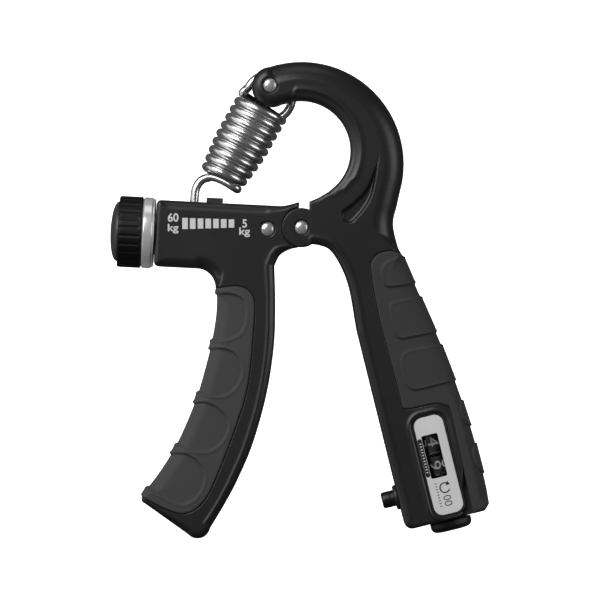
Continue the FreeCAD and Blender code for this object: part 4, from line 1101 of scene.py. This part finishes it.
def paint_cad():
    finishes = {
        bush_brass: ["pivot_bush"],
        steel_plain: ["adjusting_screw", "thrust_washer", "lower_spring_pin", "carry_axle",
                      "housing_screw", "counter_axle"],
        slider_plastic: ["slider_nut"],
        housing_plastic: ["counter_housing", "counter_back_cover"],
        lens_clear: ["counter_lens"],
        spring_steel: ["plunger_spring"],
        wheel_plastic: ["pawl", "ratchet_wheel", "carry_pinion"],
    }
    for material, names in finishes.items():
        for name in names:
            materials = frame["nodes"][name].data.materials
            materials.clear()
            materials.append(material)


# ---------------------------------------------------------------- studio

def area_light(name, place, target, size, power, size_y=None):
    data = bpy.data.lights.new(name, "AREA")
    data.energy = power
    data.size = size
    if size_y:
        data.shape = "RECTANGLE"
        data.size_y = size_y
    lamp = bpy.data.objects.new(name, data)
    lamp.location = place
    lamp.rotation_euler = (Vector(target) - Vector(place)).to_track_quat("-Z", "Y").to_euler()
    bpy.context.scene.collection.objects.link(lamp)
    return lamp


def studio():
    floor = bpy.data.meshes.new("floor")
    half, near, far, rise, bend = 0.3, 0.02, 0.5, 0.6, 0.25
    profile = [(near, 0.0)] + [(far + bend * math.sin(t), bend - bend * math.cos(t))
                               for t in np.linspace(0, math.pi / 2, 12)] + [(far + bend, rise)]
    spots = [(x, y, z) for y, z in profile for x in (-half, half)]
    floor.from_pydata(spots, [], [(2 * n, 2 * n + 1, 2 * n + 3, 2 * n + 2)
                                  for n in range(len(profile) - 1)])
    floor.polygons.foreach_set("use_smooth", [True] * len(floor.polygons))
    sweep = bpy.data.objects.new("floor", floor)
    sweep.visible_glossy = False
    bpy.context.scene.collection.objects.link(sweep)
    paper = bpy.data.materials.new("floor_paper")
    paper.use_nodes = True
    coat = paper.node_tree.nodes["Principled BSDF"]
    coat.inputs["Base Color"].default_value = (0.93, 0.93, 0.93, 1)
    coat.inputs["Roughness"].default_value = 0.9
    coat.inputs["Emission Color"].default_value = (1, 1, 1, 1)
    coat.inputs["Emission Strength"].default_value = 1.0
    floor.materials.append(paper)
    # the strip nearest the camera shows white and lights nothing
    strip = bpy.data.meshes.new("floor_front")
    strip.from_pydata([(-half, -0.6, 0), (half, -0.6, 0), (half, near, 0), (-half, near, 0)], [],
                      [(0, 1, 2, 3)])
    strip.materials.append(paper)
    front = bpy.data.objects.new("floor_front", strip)
    bpy.context.scene.collection.objects.link(front)
    front.visible_diffuse = False
    front.visible_glossy = False
    world = bpy.data.worlds.new("studio")
    world.use_nodes = True
    world.node_tree.nodes["Background"].inputs["Color"].default_value = (1, 1, 1, 1)
    world.node_tree.nodes["Background"].inputs["Strength"].default_value = 0.05
    bpy.context.scene.world = world
    middle = (0, 0, 0.076)
    area_light("key", (-0.55, -0.8, 0.6), middle, 0.8, 10.0)
    area_light("fill", (0.75, -0.35, 0.2), middle, 0.5, 1.7)
    area_light("top", (0.0, -0.1, 0.9), middle, 0.4, 0.4)
    area_light("left_card", (-0.95, -0.2, 0.05), middle, 0.7, 2.4, 1.4)
    for name, side in (("back_left", -0.7), ("back_right", 0.7)):
        lamp = area_light(name, (side, 0.75, 0.4), middle, 0.5, 2.5)
        lamp.visible_glossy = False
    camera = bpy.data.cameras.new("camera")
    camera.lens = 410
    camera.sensor_width = 36
    camera.clip_start = 0.01
    eye = bpy.data.objects.new("camera", camera)
    eye.location = (0.00024, -2.2, 0.0765)
    eye.rotation_euler = (math.pi / 2, 0, 0)
    bpy.context.scene.collection.objects.link(eye)
    bpy.context.scene.camera = eye
    bpy.context.scene.view_settings.view_transform = "Standard"


hook_arm()
finger_arm()
palm_grip()
finger_grip()
knob()
rivet("pivot_rivet_headed", "pivot_rivet", (0, 0), "palm_arm")
rivet("upper_spring_rivet_headed", "upper_spring_rivet", HOOK_RIVET, "palm_arm")
rivet("screw_rivet_headed", "screw_retaining_rivet", SCREW_RIVET, "finger_lever")
reset_knob()
plunger()
main_spring()
counter()
barrel_scale()
paint_cad()
studio()

bpy.context.view_layer.update()
